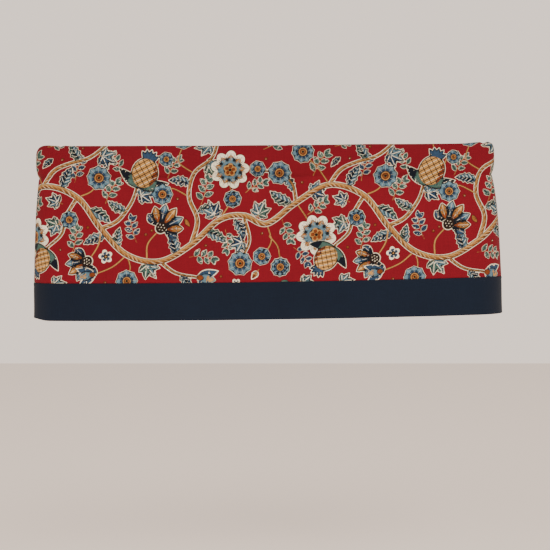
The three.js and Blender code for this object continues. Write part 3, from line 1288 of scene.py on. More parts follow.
@dataclass(frozen=True)
class Branch:
    """A branch along a smooth line through given points, in millimetres.

    Attributes:
        points: (along, up) of each point. A branch that runs on for ever ends one repeat on.
        thick: at its start.
        tip: thickness at its end.
        endless: whether it joins itself at the next repeat.
    """

    points: tuple[tuple[float, float], ...]
    thick: float = 3.4
    tip: float = 2.6
    endless: bool = False

    margin = 8.0  # cloth beside it that it may touch
    bark_from = 4.5  # the thickness from which it has a light side and bark
    bark_step = 13.0

    def line(self) -> Array:
        """Work out the smooth line: a cubic through each four points, level with its neighbours.

        Returns:
            Points along the line.
        """
        p = np.array(self.points, dtype=float)
        before, after = 2 * p[0] - p[1], 2 * p[-1] - p[-2]
        if self.endless:
            before, after = p[-2] - (REPEAT, 0.0), p[1] + (REPEAT, 0.0)
        p = np.vstack([before, p, after])
        t = np.linspace(0.0, 1.0, 10, endpoint=False)[None, :, None]
        a, b, c, d = (p[k : len(p) - 3 + k, None, :] for k in range(4))
        bend = (2 * a - 5 * b + 4 * c - d) * t**2 + (3 * b - a - 3 * c + d) * t**3
        return np.vstack([(0.5 * (2 * b + (c - a) * t + bend)).reshape(-1, 2), p[-2:-1]])

    def put(self, field: PrintField) -> None:
        """Print the branch: a body with a light side, a dark line and ticks of bark.

        Args:
            field: the cloth to print on.
        """
        line = self.line()
        low, high = line.min(axis=0) - self.thick - self.margin, line.max(axis=0) + self.thick + self.margin
        middle = (low[0] + high[0]) / 2
        across = (field.along - middle + REPEAT / 2) % REPEAT - REPEAT / 2 + middle
        level = (field.up > low[1]) & (field.up < high[1])
        at = np.flatnonzero(level & (across > low[0]) & (across < high[0]))
        away, side, run = self.nearest(line, across[at], field.up[at])
        total = np.hypot(*np.diff(line, axis=0).T).sum()
        taper = 0.0 if self.endless else (self.tip - self.thick) * run / total
        half = 0.5 * (self.thick + taper)
        body = away - half
        if self.thick < self.bark_from:
            inks = {Ink.SHADE: body - 0.5, Ink.SAND: body}
            field.stamp(at, inks, np.ones(at.shape), no_lines(run))
            return
        inks = {
            Ink.CREAM: body - 1.4,
            Ink.LINE: body,
            Ink.OCHRE: body + EDGE,
            Ink.SAND: meet(body + EDGE, 0.1 * half - side),
            Ink.RUST: meet(body + EDGE, side + 0.5 * half),
            Ink.LIGHT: meet(body + 1.6, 0.66 * half - side),
        }
        tone = 0.97 + 0.1 * np.sin(run / self.bark_step) * np.sin(run / 29.0)
        weight = smooth((-body - 0.2) / 2.0) * mix(0.9, 0.3, smooth(side / half + 0.5))
        weight *= 0.7 + 0.3 * np.sin(run / 9.0)
        bark = (run + 1.5 * side + 4.0 * np.sin(run / 15.0)) / self.bark_step
        field.stamp(at, inks, tone, drawn(bark, NO_LINE, weight))

    @staticmethod
    def nearest(line: Array, x: Array, y: Array) -> tuple[Array, Array, Array]:
        """Find the nearest place on a line, from one repeat before to one after.

        Args:
            line: points along the line.
            x: points across.
            y: points up.

        Returns:
            The distance, the distance with its side, and how far along the line.
        """
        away, side, run = np.full(x.shape, 1e9), np.zeros(x.shape), np.zeros(x.shape)
        steps = np.diff(line, axis=0)
        lengths = np.hypot(*steps.T)
        starts = np.concatenate([[0.0], np.cumsum(lengths)[:-1]])
        for shift in (-REPEAT, 0.0, REPEAT):
            for (ax, ay), (sx, sy), length, start in zip(line, steps, lengths, starts):
                px, py = x - ax - shift, y - ay
                t = np.clip((px * sx + py * sy) / length, 0.0, length)
                distance = np.hypot(px - t * sx / length, py - t * sy / length)
                new = distance < away
                away = np.where(new, distance, away)
                side = np.where(new, np.sign(sx * py - sy * px) * distance, side)
                run = np.where(new, start + t, run)
        return away, side, run


# Columns: points, and for the thicker ones thickness at the start and at the tip
BRANCHES = (
    Branch(((372, 236), (416, 262), (432, 304))),
    Branch(((416, 262), (404, 300), (394, 344))),
    Branch(((150, 232), (120, 276), (92, 300))),
    Branch(((500, 206), (460, 226), (440, 214))),
    Branch(((0, 140), (10, 96), (-12, 62))),
    Branch(((6, 110), (26, 84), (32, 44))),
    Branch(((70, 190), (96, 150), (104, 120))),
    Branch(((572, 150), (600, 196), (598, 232))),
    Branch(((512, 262), (476, 290), (486, 330))),
    Branch(((400, 56), (402, 94), (430, 128)), 4.0),
    Branch(((290, 130), (284, 92), (262, 56)), 4.0),
    Branch(((232, 205), (266, 220), (284, 246))),
    Branch(((352, 68), (360, 38), (352, 10))),
    Branch(((352, 68), (318, 40), (276, 22))),
    Branch(((150, 232), (176, 268), (214, 286), (262, 300), (300, 330), (330, 372)), 8.5, 5.0),
    Branch(((290, 130), (330, 150), (362, 192), (376, 232)), 8.5, 5.0),
    Branch(((506, 92), (520, 150), (500, 206), (512, 262), (556, 300), (566, 350), (548, 400)), 9.5, 5.0),
    Branch(((70, 190), (60, 236), (26, 262), (-20, 268)), 7, 4.6),
    Branch(((430, 52), (470, 24), (520, 14)), 7, 4.6),
    Branch(((232, 205), (206, 160), (196, 118), (160, 84)), 7, 4.6),
    Branch(((630, 160), (644, 100), (622, 52)), 7, 4.6),
    Branch(((300, 330), (250, 350), (206, 372), (160, 392)), 7, 4.6),
    Branch(((566, 350), (616, 366), (660, 396)), 7, 4.6),
    Branch(((0, 140), (70, 190), (150, 232), (232, 205), (290, 130), (352, 68), (430, 52), (506, 92),
            (572, 150), (630, 160), (686, 140)), 12, endless=True),
)

# Columns: place along, height over the seam, size, direction, bend and ink
LEAVES = (
    (60, 188, 62, 150, 0.3, Ink.TEAL),
    (196, 226, 60, 64, 0.25, Ink.SLATE),
    (258, 176, 64, -30, 0.3, Ink.TEAL),
    (300, 112, 56, 200, -0.3, Ink.SLATE),
    (330, 84, 52, 84, 0.3, Ink.TEAL),
    (470, 66, 60, 110, -0.3, Ink.SLATE),
    (540, 122, 58, -28, 0.3, Ink.TEAL),
    (608, 152, 56, -64, 0.3, Ink.SLATE),
    (520, 170, 52, 10, 0.3, Ink.TEAL),
    (504, 236, 56, 170, -0.3, Ink.SLATE),
    (40, 256, 52, -60, 0.3, Ink.TEAL),
    (244, 292, 56, 120, 0.3, Ink.TEAL),
    (350, 172, 52, 150, 0.3, Ink.TEAL),
    (480, 20, 52, -60, 0.3, Ink.SLATE),
    (586, 352, 54, 60, 0.3, Ink.TEAL),
    (232, 356, 56, 90, 0.3, Ink.SLATE),
    (320, 356, 52, -20, 0.3, Ink.TEAL),
)

# Columns: place along, height over the seam, size, direction and ink
VINE_LEAVES = (
    (96, 208, 56, 22, Ink.SLATE),
    (388, 56, 58, -52, Ink.TEAL),
    (566, 148, 56, 112, Ink.SLATE),
    (660, 148, 56, 66, Ink.TEAL),
    (530, 284, 54, -16, Ink.TEAL),
    (278, 310, 58, -24, Ink.SLATE),
    (368, 208, 56, 8, Ink.SLATE),
    (200, 146, 54, 200, Ink.TEAL),
    (642, 100, 52, 196, Ink.SLATE),
    (566, 332, 56, 190, Ink.SLATE),
)

# Columns: place along, height over the seam, size, direction, bend and ink
SPRIGS = (
    (300, 190, 66, 62, 0.2, Ink.TEAL),
    (96, 160, 62, 42, -0.2, Ink.TEAL),
    (226, 240, 62, 72, 0.2, Ink.SLATE),
    (528, 186, 72, 78, -0.2, Ink.TEAL),
    (634, 214, 60, 30, 0.2, Ink.TEAL),
    (110, 252, 70, 60, 0.2, Ink.TEAL),
    (376, 96, 66, 104, 0.2, Ink.SLATE),
    (36, 150, 62, -64, -0.2, Ink.TEAL),
    (222, 74, 66, 82, -0.2, Ink.TEAL),
    (62, 84, 60, -48, 0.2, Ink.SLATE),
    (586, 128, 58, -84, 0.2, Ink.TEAL),
    (500, 62, 66, -4, 0.2, Ink.TEAL),
    (340, 262, 58, 118, -0.2, Ink.TEAL),
    (448, 250, 60, 60, 0.2, Ink.TEAL),
)

FLOWERS = (
    Peony(118, 112, 48, 20),
    Pomegranate(382, 226, 92, 72),
    Palmette(430, 128, 66, 52),
    Peony(598, 270, 46, 0),
    Palmette(262, 56, 60, 215),
    Pomegranate(160, 84, 80, 236),
    Tulip(548, 400, 56, 110),
    Palmette(330, 372, 56, 70),
    Peony(160, 392, 46, 50),
    Tulip(520, 14, 54, -10),
    Tulip(276, 22, 48, 190),
    Rosette(30, 262, 29, 0),
    Rosette(664, 272, 20, 0, 7),
    Rosette(284, 252, 30, 12),
    Rosette(486, 344, 25, 5, 8),
    Rosette(622, 46, 30, 9),
    Rosette(352, 6, 27, 3, 8),
    Rosette(86, 312, 28, 8, 10),
    Rosette(436, 212, 26, 0, 8),
    Rosette(674, 62, 22, 0, 7),
    Rosette(32, 36, 24, 15, 10),
    Rosette(394, 356, 24, 0, 8),
    Rosette(446, 296, 18, 0, 7),
    Rosette(660, 396, 28, 0),
    Rosette(214, 152, 22, 4, 8),
    Rosette(604, 200, 22, 4, 8),
)


@dataclass(frozen=True)
class Filler:
    """Small motifs that are scattered wherever the cloth is still bare.

    Attributes:
        kind: of motif.
        size: its length or its radius.
        tries: how many places are tried.
        round: whether it is as wide as it is long.
        bend: of a bent one, to each side in turn.
        fills: its inks, taken in turn.
        teeth: how many teeth each edge of a toothed leaf has.
    """

    kind: type[Motif]
    size: float
    tries: int
    round: bool = False
    bend: float = 0.0
    fills: tuple[Ink, ...] = ()
    teeth: int = 0

    def make(self, u: float, v: float, turn: float, number: int) -> Motif:
        """Make one motif.

        Args:
            u: place along the repeat.
            v: height over the seam.
            turn: its direction in degrees.
            number: of the try, which picks its bend and its ink.

        Returns:
            The motif.
        """
        options: dict[str, object] = {}
        if self.bend:
            options["bend"] = self.bend * (-1) ** number
        if self.fills:
            options["fill"] = self.fills[number % len(self.fills)]
        if self.teeth:
            options["teeth"] = self.teeth
        return self.kind(u, v, self.size, turn, **options)


GREENS = (Ink.TEAL, Ink.SLATE)
MOSTLY_TEAL = (Ink.TEAL, Ink.TEAL, Ink.SLATE)
FILLERS = (
    Filler(Sprig, 78, 500, bend=0.2, fills=MOSTLY_TEAL),
    Filler(VineLeaf, 46, 300, fills=GREENS),
    Filler(Pod, 36, 60),
    Filler(Blossom, 17, 60, True),
    Filler(Bud, 32, 200),
    Filler(Sprig, 50, 500, bend=0.2, fills=MOSTLY_TEAL),
    Filler(Leaf, 34, 200, bend=0.2, fills=GREENS, teeth=4),
    Filler(Blossom, 12, 60, True),
    Filler(Frond, 22, 200, bend=0.25, fills=(Ink.OCHRE, *GREENS)),
    Filler(Berry, 3.2, 100, True),
)


@dataclass(frozen=True)
class PrintDesign:
    """An all-over print of a winding branch with leaves, flowers and fruit, which repeats along the cloth.

    Attributes:
        height: of the printed cloth, in millimetres.
        step: of the grid on which the small motifs find their room.
        gap: bare cloth that they leave round them.
        seed: of their random places.
        below: cloth under the seam that is laid out with it.
        sunk: how far under the seam a small motif may begin.
        slim: half width of a long small motif, in lengths.
    """

    height: float = 424.0
    step: float = 3.0
    gap: float = 3.0
    seed: int = 5
    below: float = 6.0
    sunk: float = 4.0
    slim: float = 0.22

    def motifs(self) -> list[Motif | Branch]:
        """List every motif in the order in which it is printed.

        Returns:
            Branches, leaves and flowers as listed, then small motifs in the gaps.
        """
        tables = ((Sprig, SPRIGS), (Leaf, LEAVES), (VineLeaf, VINE_LEAVES))
        leaves = [kind(*row) for kind, rows in tables for row in rows]
        motifs: list[Motif | Branch] = [*leaves, *BRANCHES, *FLOWERS]
        across, up = np.arange(0.0, REPEAT, self.step), np.arange(-self.below, self.height, self.step)
        field = PrintField(*(axis.ravel() for axis in np.meshgrid(across, up)))
        for motif in motifs:
            motif.put(field)
        random = np.random.default_rng(self.seed)
        for filler in FILLERS:
            for number in range(filler.tries):
                u, v = random.uniform(0.0, REPEAT), random.uniform(-self.sunk, self.height - self.sunk)
                turn = random.uniform(0.0, 360.0)
                if self.fits(field.cover.reshape(up.size, across.size), filler, (u, v, turn)):
                    motifs.append(filler.make(u, v, turn, number))
                    motifs[-1].put(field)
        return motifs

    def fits(self, cover: Array, filler: Filler, place: tuple[float, float, float]) -> bool:
        """Say whether a small motif would lie on bare cloth.

        Args:
            cover: distance to what is printed, for rows up the cloth and columns along it.
            filler: the small motif.
            place: where along, how high and in which direction.

        Returns:
            True if there is room at its middle, or at three places along it.
        """
        u, v, turn = place
        shares = (0.0,) if filler.round else (0.1, 0.5, 0.9)
        need = filler.size * (1.0 if filler.round else self.slim) + self.gap
        for share in shares:
            x = u + share * filler.size * math.cos(math.radians(turn))
            y = v + share * filler.size * math.sin(math.radians(turn))
            row, column = round((y + self.below) / self.step), round(x / self.step) % cover.shape[1]
            if not 0 <= row < cover.shape[0] or cover[row, column] < need:
                return False
        return True

    def draw(self, along: Array, up: Array) -> PrintField:
        """Print the whole design on some cloth.

        Args:
            along: places along the cloth, in millimetres.
            up: heights over the seam, measured on the cloth.

        Returns:
            The distance to each ink at each point.
        """
        field = PrintField(along, up)
        motifs = self.motifs()
        for motif in motifs:
            motif.put(field)
        log.info("print: %d motifs", len(motifs))
        return field


# Finishes


def linear(red: int, green: int, blue: int) -> tuple[float, float, float, float]:
    """Turn a screen colour into the linear colour that shaders take.

    Args:
        red: from 0 to 255.
        green: the same.
        blue: the same.

    Returns:
        The colour, with an alpha of 1.
    """
    parts = [channel / 255.0 for channel in (red, green, blue)]
    curved = [part / 12.92 if part <= 0.04045 else ((part + 0.055) / 1.055) ** 2.4 for part in parts]
    return curved[0], curved[1], curved[2], 1.0


class Wiring:
    """Adds shader nodes to a tree and joins them."""

    def __init__(self, tree: bpy.types.NodeTree) -> None:
        """Work on one tree."""
        self.tree = tree

    def add(self, kind: str, settings: dict[str, object] | None = None, **inputs: object) -> bpy.types.Node:
        """Add a node.

        Args:
            kind: of node, without the word ShaderNode.
            settings: values of the node's own properties.
            inputs: for each input's name, with _ for a space, a value or another node's output.

        Returns:
            The node.
        """
        node = self.tree.nodes.new("ShaderNode" + kind)
        for name, value in (settings or {}).items():
            setattr(node, name, value)
        for name, value in inputs.items():
            self.set(node.inputs[name.replace("_", " ")], value)
        return node

    def set(self, socket: Socket, value: object) -> None:
        """Give an input a value, or join another node's output to it.

        Args:
            socket: the input.
            value: the value or the output.
        """
        if isinstance(value, Socket):
            self.tree.links.new(value, socket)
        else:
            socket.default_value = value

    def group(self, tree: bpy.types.NodeTree, **inputs: object) -> bpy.types.Node:
        """Add a shared group of nodes."""
        return self.add("Group", {"node_tree": tree}, **inputs)

    def read(self, attribute: str, output: str = "Fac") -> Socket:
        """Read one of the mesh's attributes."""
        return self.add("Attribute", {"attribute_name": attribute}).outputs[output]

    def noise(self, places: object, scale: object, detail: float = 2.0) -> Socket:
        """Add flat noise over some places."""
        settings = {"noise_dimensions": "2D"}
        return self.add("TexNoise", settings, Vector=places, Scale=scale, Detail=detail).outputs["Fac"]

    def math(self, operation: str, *values: object, clamp: bool = False) -> Socket:
        """Work out a sum, a product or another operation.

        Args:
            operation: its name.
            values: one, two or three numbers or outputs.
            clamp: whether the result is kept from 0 to 1.

        Returns:
            The result.
        """
        node = self.add("Math", {"operation": operation, "use_clamp": clamp})
        for socket, value in zip(node.inputs, values):
            self.set(socket, value)
        return node.outputs[0]

    def blend(self, low: object, high: object, share: object, kind: str = "MIX") -> Socket:
        """Blend two colours.

        Args:
            low: the colour at a share of 0.
            high: the colour at a share of 1.
            share: of the second.
            kind: how they are blended.

        Returns:
            The blended colour.
        """
        node = self.add("Mix", {"data_type": "RGBA", "blend_type": kind})
        for index, value in ((0, share), (6, low), (7, high)):
            self.set(node.inputs[index], value)
        return node.outputs[2]

    def shaded(self, colour: object, shade: Socket) -> Socket:
        """Multiply a colour by a shade."""
        grey = self.add("CombineColor", Red=shade, Green=shade, Blue=shade)
        return self.blend(colour, grey.outputs[0], 1.0, "MULTIPLY")


class Effect(Wiring):
    """A group of shader nodes that several finishes share.

    Attributes:
        given: its inputs, as its own nodes read them.
        result: its outputs, as they are joined to.
    """

    def __init__(self, name: str, inputs: dict[str, object], outputs: Iterable[str]) -> None:
        """Start the group.

        Args:
            name: of the group.
            inputs: for each input's name a number, a colour, or None where it takes places.
            outputs: names of the outputs, which are numbers but for one named Color.
        """
        super().__init__(bpy.data.node_groups.new(name, "ShaderNodeTree"))
        for title, value in inputs.items():
            kind = {type(None): "Vector", float: "Float", tuple: "Color"}[type(value)]
            socket = self.tree.interface.new_socket(title, in_out="INPUT", socket_type="NodeSocket" + kind)
            if value is not None:
                socket.default_value = value
        for title in outputs:
            kind = "Color" if title == "Color" else "Float"
            self.tree.interface.new_socket(title, in_out="OUTPUT", socket_type="NodeSocket" + kind)
        self.given = self.tree.nodes.new("NodeGroupInput").outputs
        self.result = self.tree.nodes.new("NodeGroupOutput").inputs

    def give(self, **values: Socket) -> bpy.types.NodeTree:
        """Join the outputs.

        Args:
            values: what each output gives.

        Returns:
            The finished group.
        """
        for title, value in values.items():
            self.set(self.result[title], value)
        return self.tree


class CottonEffects:
    """The groups of nodes that both cotton cloths share.

    Attributes:
        thread_share: how much of a stitch's length shows thread.
        dent_reach: how far a stitch sinks the cloth, in widths of the row.
        shadow_reach: how far the painted shadow beside the row reaches, in widths of the row.
        double_over: height over which the double cloth past the row begins, in metres, where painted shade
            goes.
        rim_width: of the darker rim of an ink, in millimetres.
    """

    thread_share = 0.78
    dent_reach = 3.0
    shadow_reach = 8.0
    double_over = 0.006
    rim_width = 2.2

    def __init__(self) -> None:
        """Make every group once."""
        self.weave = self.make_weave()
        self.handling = self.make_handling()
        self.stitches = self.make_stitches()
        self.ink = self.make_ink()
        self.lines = self.make_lines()

    def make_weave(self) -> bpy.types.NodeTree:
        """Make the threads of a plain weave: uneven ribs both ways, with a few thick slubs.

        Returns:
            The group.
        """
        nodes = Effect("cotton weave", {"Cloth": None, "Threads": 900.0, "Uneven": 0.5}, ("Height", "Shade"))
        ribs = []
        for stretch in ((1.0, 0.035, 1.0), (0.035, 1.0, 1.0)):
            scaled = nodes.add("VectorMath", {"operation": "MULTIPLY"}, Vector=nodes.given["Cloth"])
            scaled.inputs[1].default_value = stretch
            ribs.append(nodes.noise(scaled.outputs[0], nodes.given["Threads"], 1.0))
        both = nodes.math("ADD", *ribs)
        uneven = nodes.math("MULTIPLY", nodes.noise(nodes.given["Cloth"], 160.0), nodes.given["Uneven"])
        shade = nodes.math("MULTIPLY_ADD", both, 0.24, 0.76)
        return nodes.give(Height=nodes.math("ADD", both, uneven), Shade=shade)

    def make_handling(self) -> bpy.types.NodeTree:
        """Make broad soft changes of tone, as pressed and handled cloth has.

        Returns:
            The group.
        """
        nodes = Effect("handled cloth", {"Cloth": None, "Amount": 0.1, "Size": 9.0}, ("Shade", "Height"))
        noise = nodes.noise(nodes.given["Cloth"], nodes.given["Size"], 3.0)
        centred = nodes.math("SUBTRACT", noise, 0.5)
        return nodes.give(Shade=nodes.math("MULTIPLY_ADD", centred, nodes.given["Amount"], 1.0), Height=noise)

    def make_stitches(self) -> bpy.types.NodeTree:
        """Make a row of machine stitches, sunk between puckers, with masks for painted shade in its dent, for
        a painted shadow beside it, and for painted shade on the double cloth past it, where less light comes
        through.

        Returns:
            The group.
        """
        nodes = Effect(
            "stitched row",
            {"Cloth": None, "Line": 0.25, "Stitch": 0.003, "Width": 0.0012, "Pull": 0.3, "Uneven": 0.75},
            ("Dent", "Shadow", "Double"),
        )
        place = nodes.add("SeparateXYZ", Vector=nodes.given["Cloth"]).outputs
        past = nodes.math("SUBTRACT", place["Y"], nodes.given["Line"])
        share = nodes.math("DIVIDE", nodes.math("ABSOLUTE", past), nodes.given["Width"])
        stitch = nodes.math("FRACT", nodes.math("DIVIDE", place["X"], nodes.given["Stitch"]))
        thread = nodes.math("LESS_THAN", stitch, self.thread_share)
        turn = nodes.math("MULTIPLY", nodes.math("DIVIDE", place["X"], nodes.given["Pull"]), math.tau)
        slack = nodes.math("MULTIPLY_ADD", nodes.math("COSINE", turn), -0.5, 0.5)
        pull = nodes.math("SUBTRACT", 1.0, nodes.math("MULTIPLY", slack, nodes.given["Uneven"]))
        near, broad = (
            nodes.math("SUBTRACT", 1.0, nodes.math("DIVIDE", share, reach), clamp=True)
            for reach in (self.dent_reach, self.shadow_reach)
        )
        dashed = nodes.math("MULTIPLY", near, nodes.math("MULTIPLY_ADD", thread, 0.3, 0.7))
        # painted shade: Dent darkens the groove, Shadow is a painted shadow beside the row, and the
        # double-cloth mask marks where less light comes through
        return nodes.give(
            Dent=nodes.math("MULTIPLY", dashed, pull),
            Shadow=nodes.math("MULTIPLY", broad, pull),
            Double=nodes.math("ADD", nodes.math("DIVIDE", past, self.double_over), 0.5, clamp=True),
        )

    def make_ink(self) -> bpy.types.NodeTree:
        """Make an ink: soft and a little uneven at its edge, darker beside it, over what lies beneath.

        Returns:
            The group.
        """
        colours = {"Under": (0.0, 0.0, 0.0, 1.0), "Ink": (1.0, 1.0, 1.0, 1.0)}
        numbers = {"Distance": 1.0, "Waver": 0.0, "Shade": 1.0, "Soft": 0.9, "Rim": 0.3}
        nodes = Effect("ink", colours | numbers, ("Color",))
        moved = nodes.math("ADD", nodes.given["Distance"], nodes.given["Waver"])
        mask = nodes.math("SUBTRACT", 0.5, nodes.math("DIVIDE", moved, nodes.given["Soft"]), clamp=True)
        rim = nodes.math("ADD", 1.0, nodes.math("DIVIDE", moved, self.rim_width), clamp=True)
        darker = nodes.math("SUBTRACT", 1.0, nodes.math("MULTIPLY", rim, nodes.given["Rim"]))
        ink = nodes.shaded(nodes.given["Ink"], nodes.math("MULTIPLY", nodes.given["Shade"], darker))
        return nodes.give(Color=nodes.blend(nodes.given["Under"], ink, mask))

    def make_lines(self) -> bpy.types.NodeTree:
        """Make drawn lines: dark where either count is whole, and pale midway between in the first.

        Returns:
            The group.
        """
        black, white = (0.0, 0.0, 0.0, 1.0), (1.0, 1.0, 1.0, 1.0)
        inputs = {"Under": black, "Counts": None, "Dark": black, "Pale": white, "Width": 0.15, "Soft": 0.05}
        nodes = Effect("drawn lines", inputs, ("Color",))
        parts = nodes.add("SeparateXYZ", Vector=nodes.given["Counts"]).outputs
        reach = nodes.math("MULTIPLY", parts["Z"], nodes.given["Width"])
        turns = [nodes.math("SUBTRACT", nodes.math("FRACT", parts[axis]), 0.5) for axis in "XY"]
        from_half = [nodes.math("ABSOLUTE", turn) for turn in turns]
        from_whole = nodes.math("SUBTRACT", 0.5, nodes.math("MAXIMUM", *from_half))
        colour = nodes.given["Under"]
        for away, ink, wide in ((from_half[0], "Pale", 0.7), (from_whole, "Dark", 1.15)):
            inside = nodes.math("MULTIPLY_ADD", reach, wide, nodes.math("MULTIPLY", away, -1.0))
            share = nodes.math("DIVIDE", inside, nodes.given["Soft"], clamp=True)
            colour = nodes.blend(colour, nodes.given[ink], share)
        return nodes.give(Color=colour)


@dataclass(frozen=True)
class Cotton:
    """A matt plain-weave cotton, of which each kind gives its own colour.

    Attributes:
        effects: the shared groups of nodes.
        name: of the material.
        slubs: how much the thick threads stand out.
        handled: how strongly its tone changes from place to place.
        roughness: of the cloth.
        sheen: weight of its soft edge light.
        specular: level of its reflections.
        relief: height of the weave, in metres.
        bump: strength of the weave's relief.
    """

    effects: CottonEffects
    name: str = "cotton"
    slubs: float = 0.5
    handled: float = 0.16
    roughness: float = 0.88
    sheen: float = 0.05
    specular: float = 0.18
    relief: float = 0.00022
    bump: float = 0.5

    def make(self) -> bpy.types.Material:
        """Build the material.

        Returns:
            The material, which reads the cloth map and, where it is printed, the print's attributes.
        """
        material = bpy.data.materials.new(self.name)
        material.use_nodes = True
        material.node_tree.nodes.clear()
        nodes = Wiring(material.node_tree)
        cloth = nodes.add("UVMap", {"uv_map": CLOTH_MAP}).outputs["UV"]
        weave = nodes.group(self.effects.weave, Cloth=cloth, Uneven=self.slubs)
        broad = nodes.group(self.effects.handling, Cloth=cloth, Amount=self.handled)
        shade = nodes.math("MULTIPLY", broad.outputs["Shade"], weave.outputs["Shade"])
        colour, shade, height = self.dress(nodes, cloth, shade, weave.outputs["Height"])
        bump = nodes.add("Bump", Strength=self.bump, Distance=self.relief, Height=height)
        shader = nodes.add(
            "BsdfPrincipled",
            Base_Color=nodes.shaded(colour, shade),
            Roughness=self.roughness,
            Normal=bump.outputs[0],
            Sheen_Weight=self.sheen,
            Specular_IOR_Level=self.specular,
        )
        nodes.add("OutputMaterial", Surface=shader.outputs[0])
        return material

    def dress(self, nodes: Wiring, cloth: Socket, shade: Socket, height: Socket) -> Dressed:
        """Give the woven cloth its colour, how light it is and its relief."""
        raise NotImplementedError


@dataclass(frozen=True)
class PrintedCotton(Cotton):
    """Printed cotton, matt, with a faint ghost of the print on its wrong side.

    Attributes:
        ground: the colour of the cloth round the print.
        wrong_side: the colour of its back.
        ghost: the colour where the print shows through the back.
        stitch_line: length of cloth from the seam to the pocket's stitches, in metres.
        hatch: how strongly an ink's own tone changes, and how finely.
        waver: how far its edge strays, in millimetres.
        rim: how much darker it is along its edge, but for the fine ones.
        dent_shade: painted shade in the stitches' groove, how much darker the cloth is there.
        row_shade: painted shadow beside them, how much darker it is there.
        double_shade: painted shade where it lies double and lets less light through, how much darker it is
            there.
        dent_depth: of the stitches, in heights of the weave.
    """

    name: str = "printed cotton"
    ground: tuple[int, int, int] = (124, 14, 29)
    wrong_side: tuple[int, int, int] = (136, 56, 54)
    ghost: tuple[int, int, int] = (160, 112, 100)
    stitch_line: float = 0.254
    hatch: tuple[float, float] = (0.9, 210.0)
    waver: float = 0.8
    rim: float = 0.34
    dent_shade: float = 0.2
    row_shade: float = 0.07
    double_shade: float = 0.1
    dent_depth: float = 1.6

    fine = (Ink.CREAM, Ink.LIGHT, Ink.SHADE, Ink.DARK, Ink.LINE)

    def dress(self, nodes: Wiring, cloth: Socket, shade: Socket, height: Socket) -> Dressed:
        """Print the front, let it show through the back, and sink the row of stitches, with painted shade in
        its groove, a painted shadow beside it and painted shade on the double cloth past it.

        Args:
            nodes: adds the nodes.
            cloth: places on the flat cloth.
            shade: how light the cloth is.
            height: of its relief.

        Returns:
            Its colour, how light it is and its relief.
        """
        amount, size = self.hatch
        hatch = nodes.group(self.effects.handling, Cloth=cloth, Amount=amount, Size=size).outputs
        waver = nodes.math("MULTIPLY_ADD", hatch["Height"], self.waver, -self.waver / 2)
        tone = nodes.math("MULTIPLY", hatch["Shade"], nodes.read("tone"))
        drawn_over = nodes.group(
            self.effects.lines,
            Under=self.inked(nodes, waver, tone),
            Counts=nodes.read("lines", "Vector"),
            Dark=linear(*Ink.LINE.value),
            Pale=linear(*Ink.CREAM.value),
        )
        back = nodes.blend(linear(*self.wrong_side), linear(*self.ghost), nodes.read("ghost"))
        colour = nodes.blend(drawn_over.outputs[0], back, nodes.read("inside"))
        row = nodes.group(self.effects.stitches, Cloth=cloth, Line=self.stitch_line).outputs
        # painted shade: darker in the stitches' groove, a painted shadow beside them, and darker on the
        # double cloth, where less light comes through
        dent: object = 1.0
        darker = {"Dent": self.dent_shade, "Shadow": self.row_shade, "Double": self.double_shade}
        for part, share in darker.items():
            dent = nodes.math("MULTIPLY_ADD", row[part], -share, dent)
        height = nodes.math("MULTIPLY_ADD", row["Dent"], -self.dent_depth, height)
        return colour, nodes.math("MULTIPLY", shade, dent), height

    def inked(self, nodes: Wiring, waver: Socket, shade: Socket) -> Socket:
        """Lay every ink over the ground in its order.

        Args:
            nodes: adds the nodes.
            waver: unevenness of the edges, in millimetres.
            shade: unevenness of the inks' tone.

        Returns:
            The printed colour.
        """
        colour: object = linear(*self.ground)
        for number, ink in enumerate(Ink):
            if number % 3 == 0:
                layer = nodes.add("SeparateXYZ", Vector=nodes.read(f"inks_{number // 3}", "Vector"))
            colour = nodes.group(
                self.effects.ink,
                Under=colour,
                Ink=linear(*ink.value),
                Distance=layer.outputs[number % 3],
                Waver=waver,
                Shade=shade,
                Rim=0.0 if ink in self.fine else self.rim,
            ).outputs[0]
        return colour


@dataclass(frozen=True)
class NavyCotton(Cotton):
    """Plain dark cotton, smooth and matt.

    Attributes:
        colour: of the cloth.
    """

    name: str = "navy cotton"
    slubs: float = 0.3
    handled: float = 0.2
    roughness: float = 0.86
    sheen: float = 0.06
    relief: float = 0.0002
    colour: tuple[int, int, int] = (17, 27, 43)

    def dress(self, nodes: Wiring, cloth: Socket, shade: Socket, height: Socket) -> Dressed:
        """Leave the woven cloth plain."""
        return linear(*self.colour), shade, height


# The two cloths


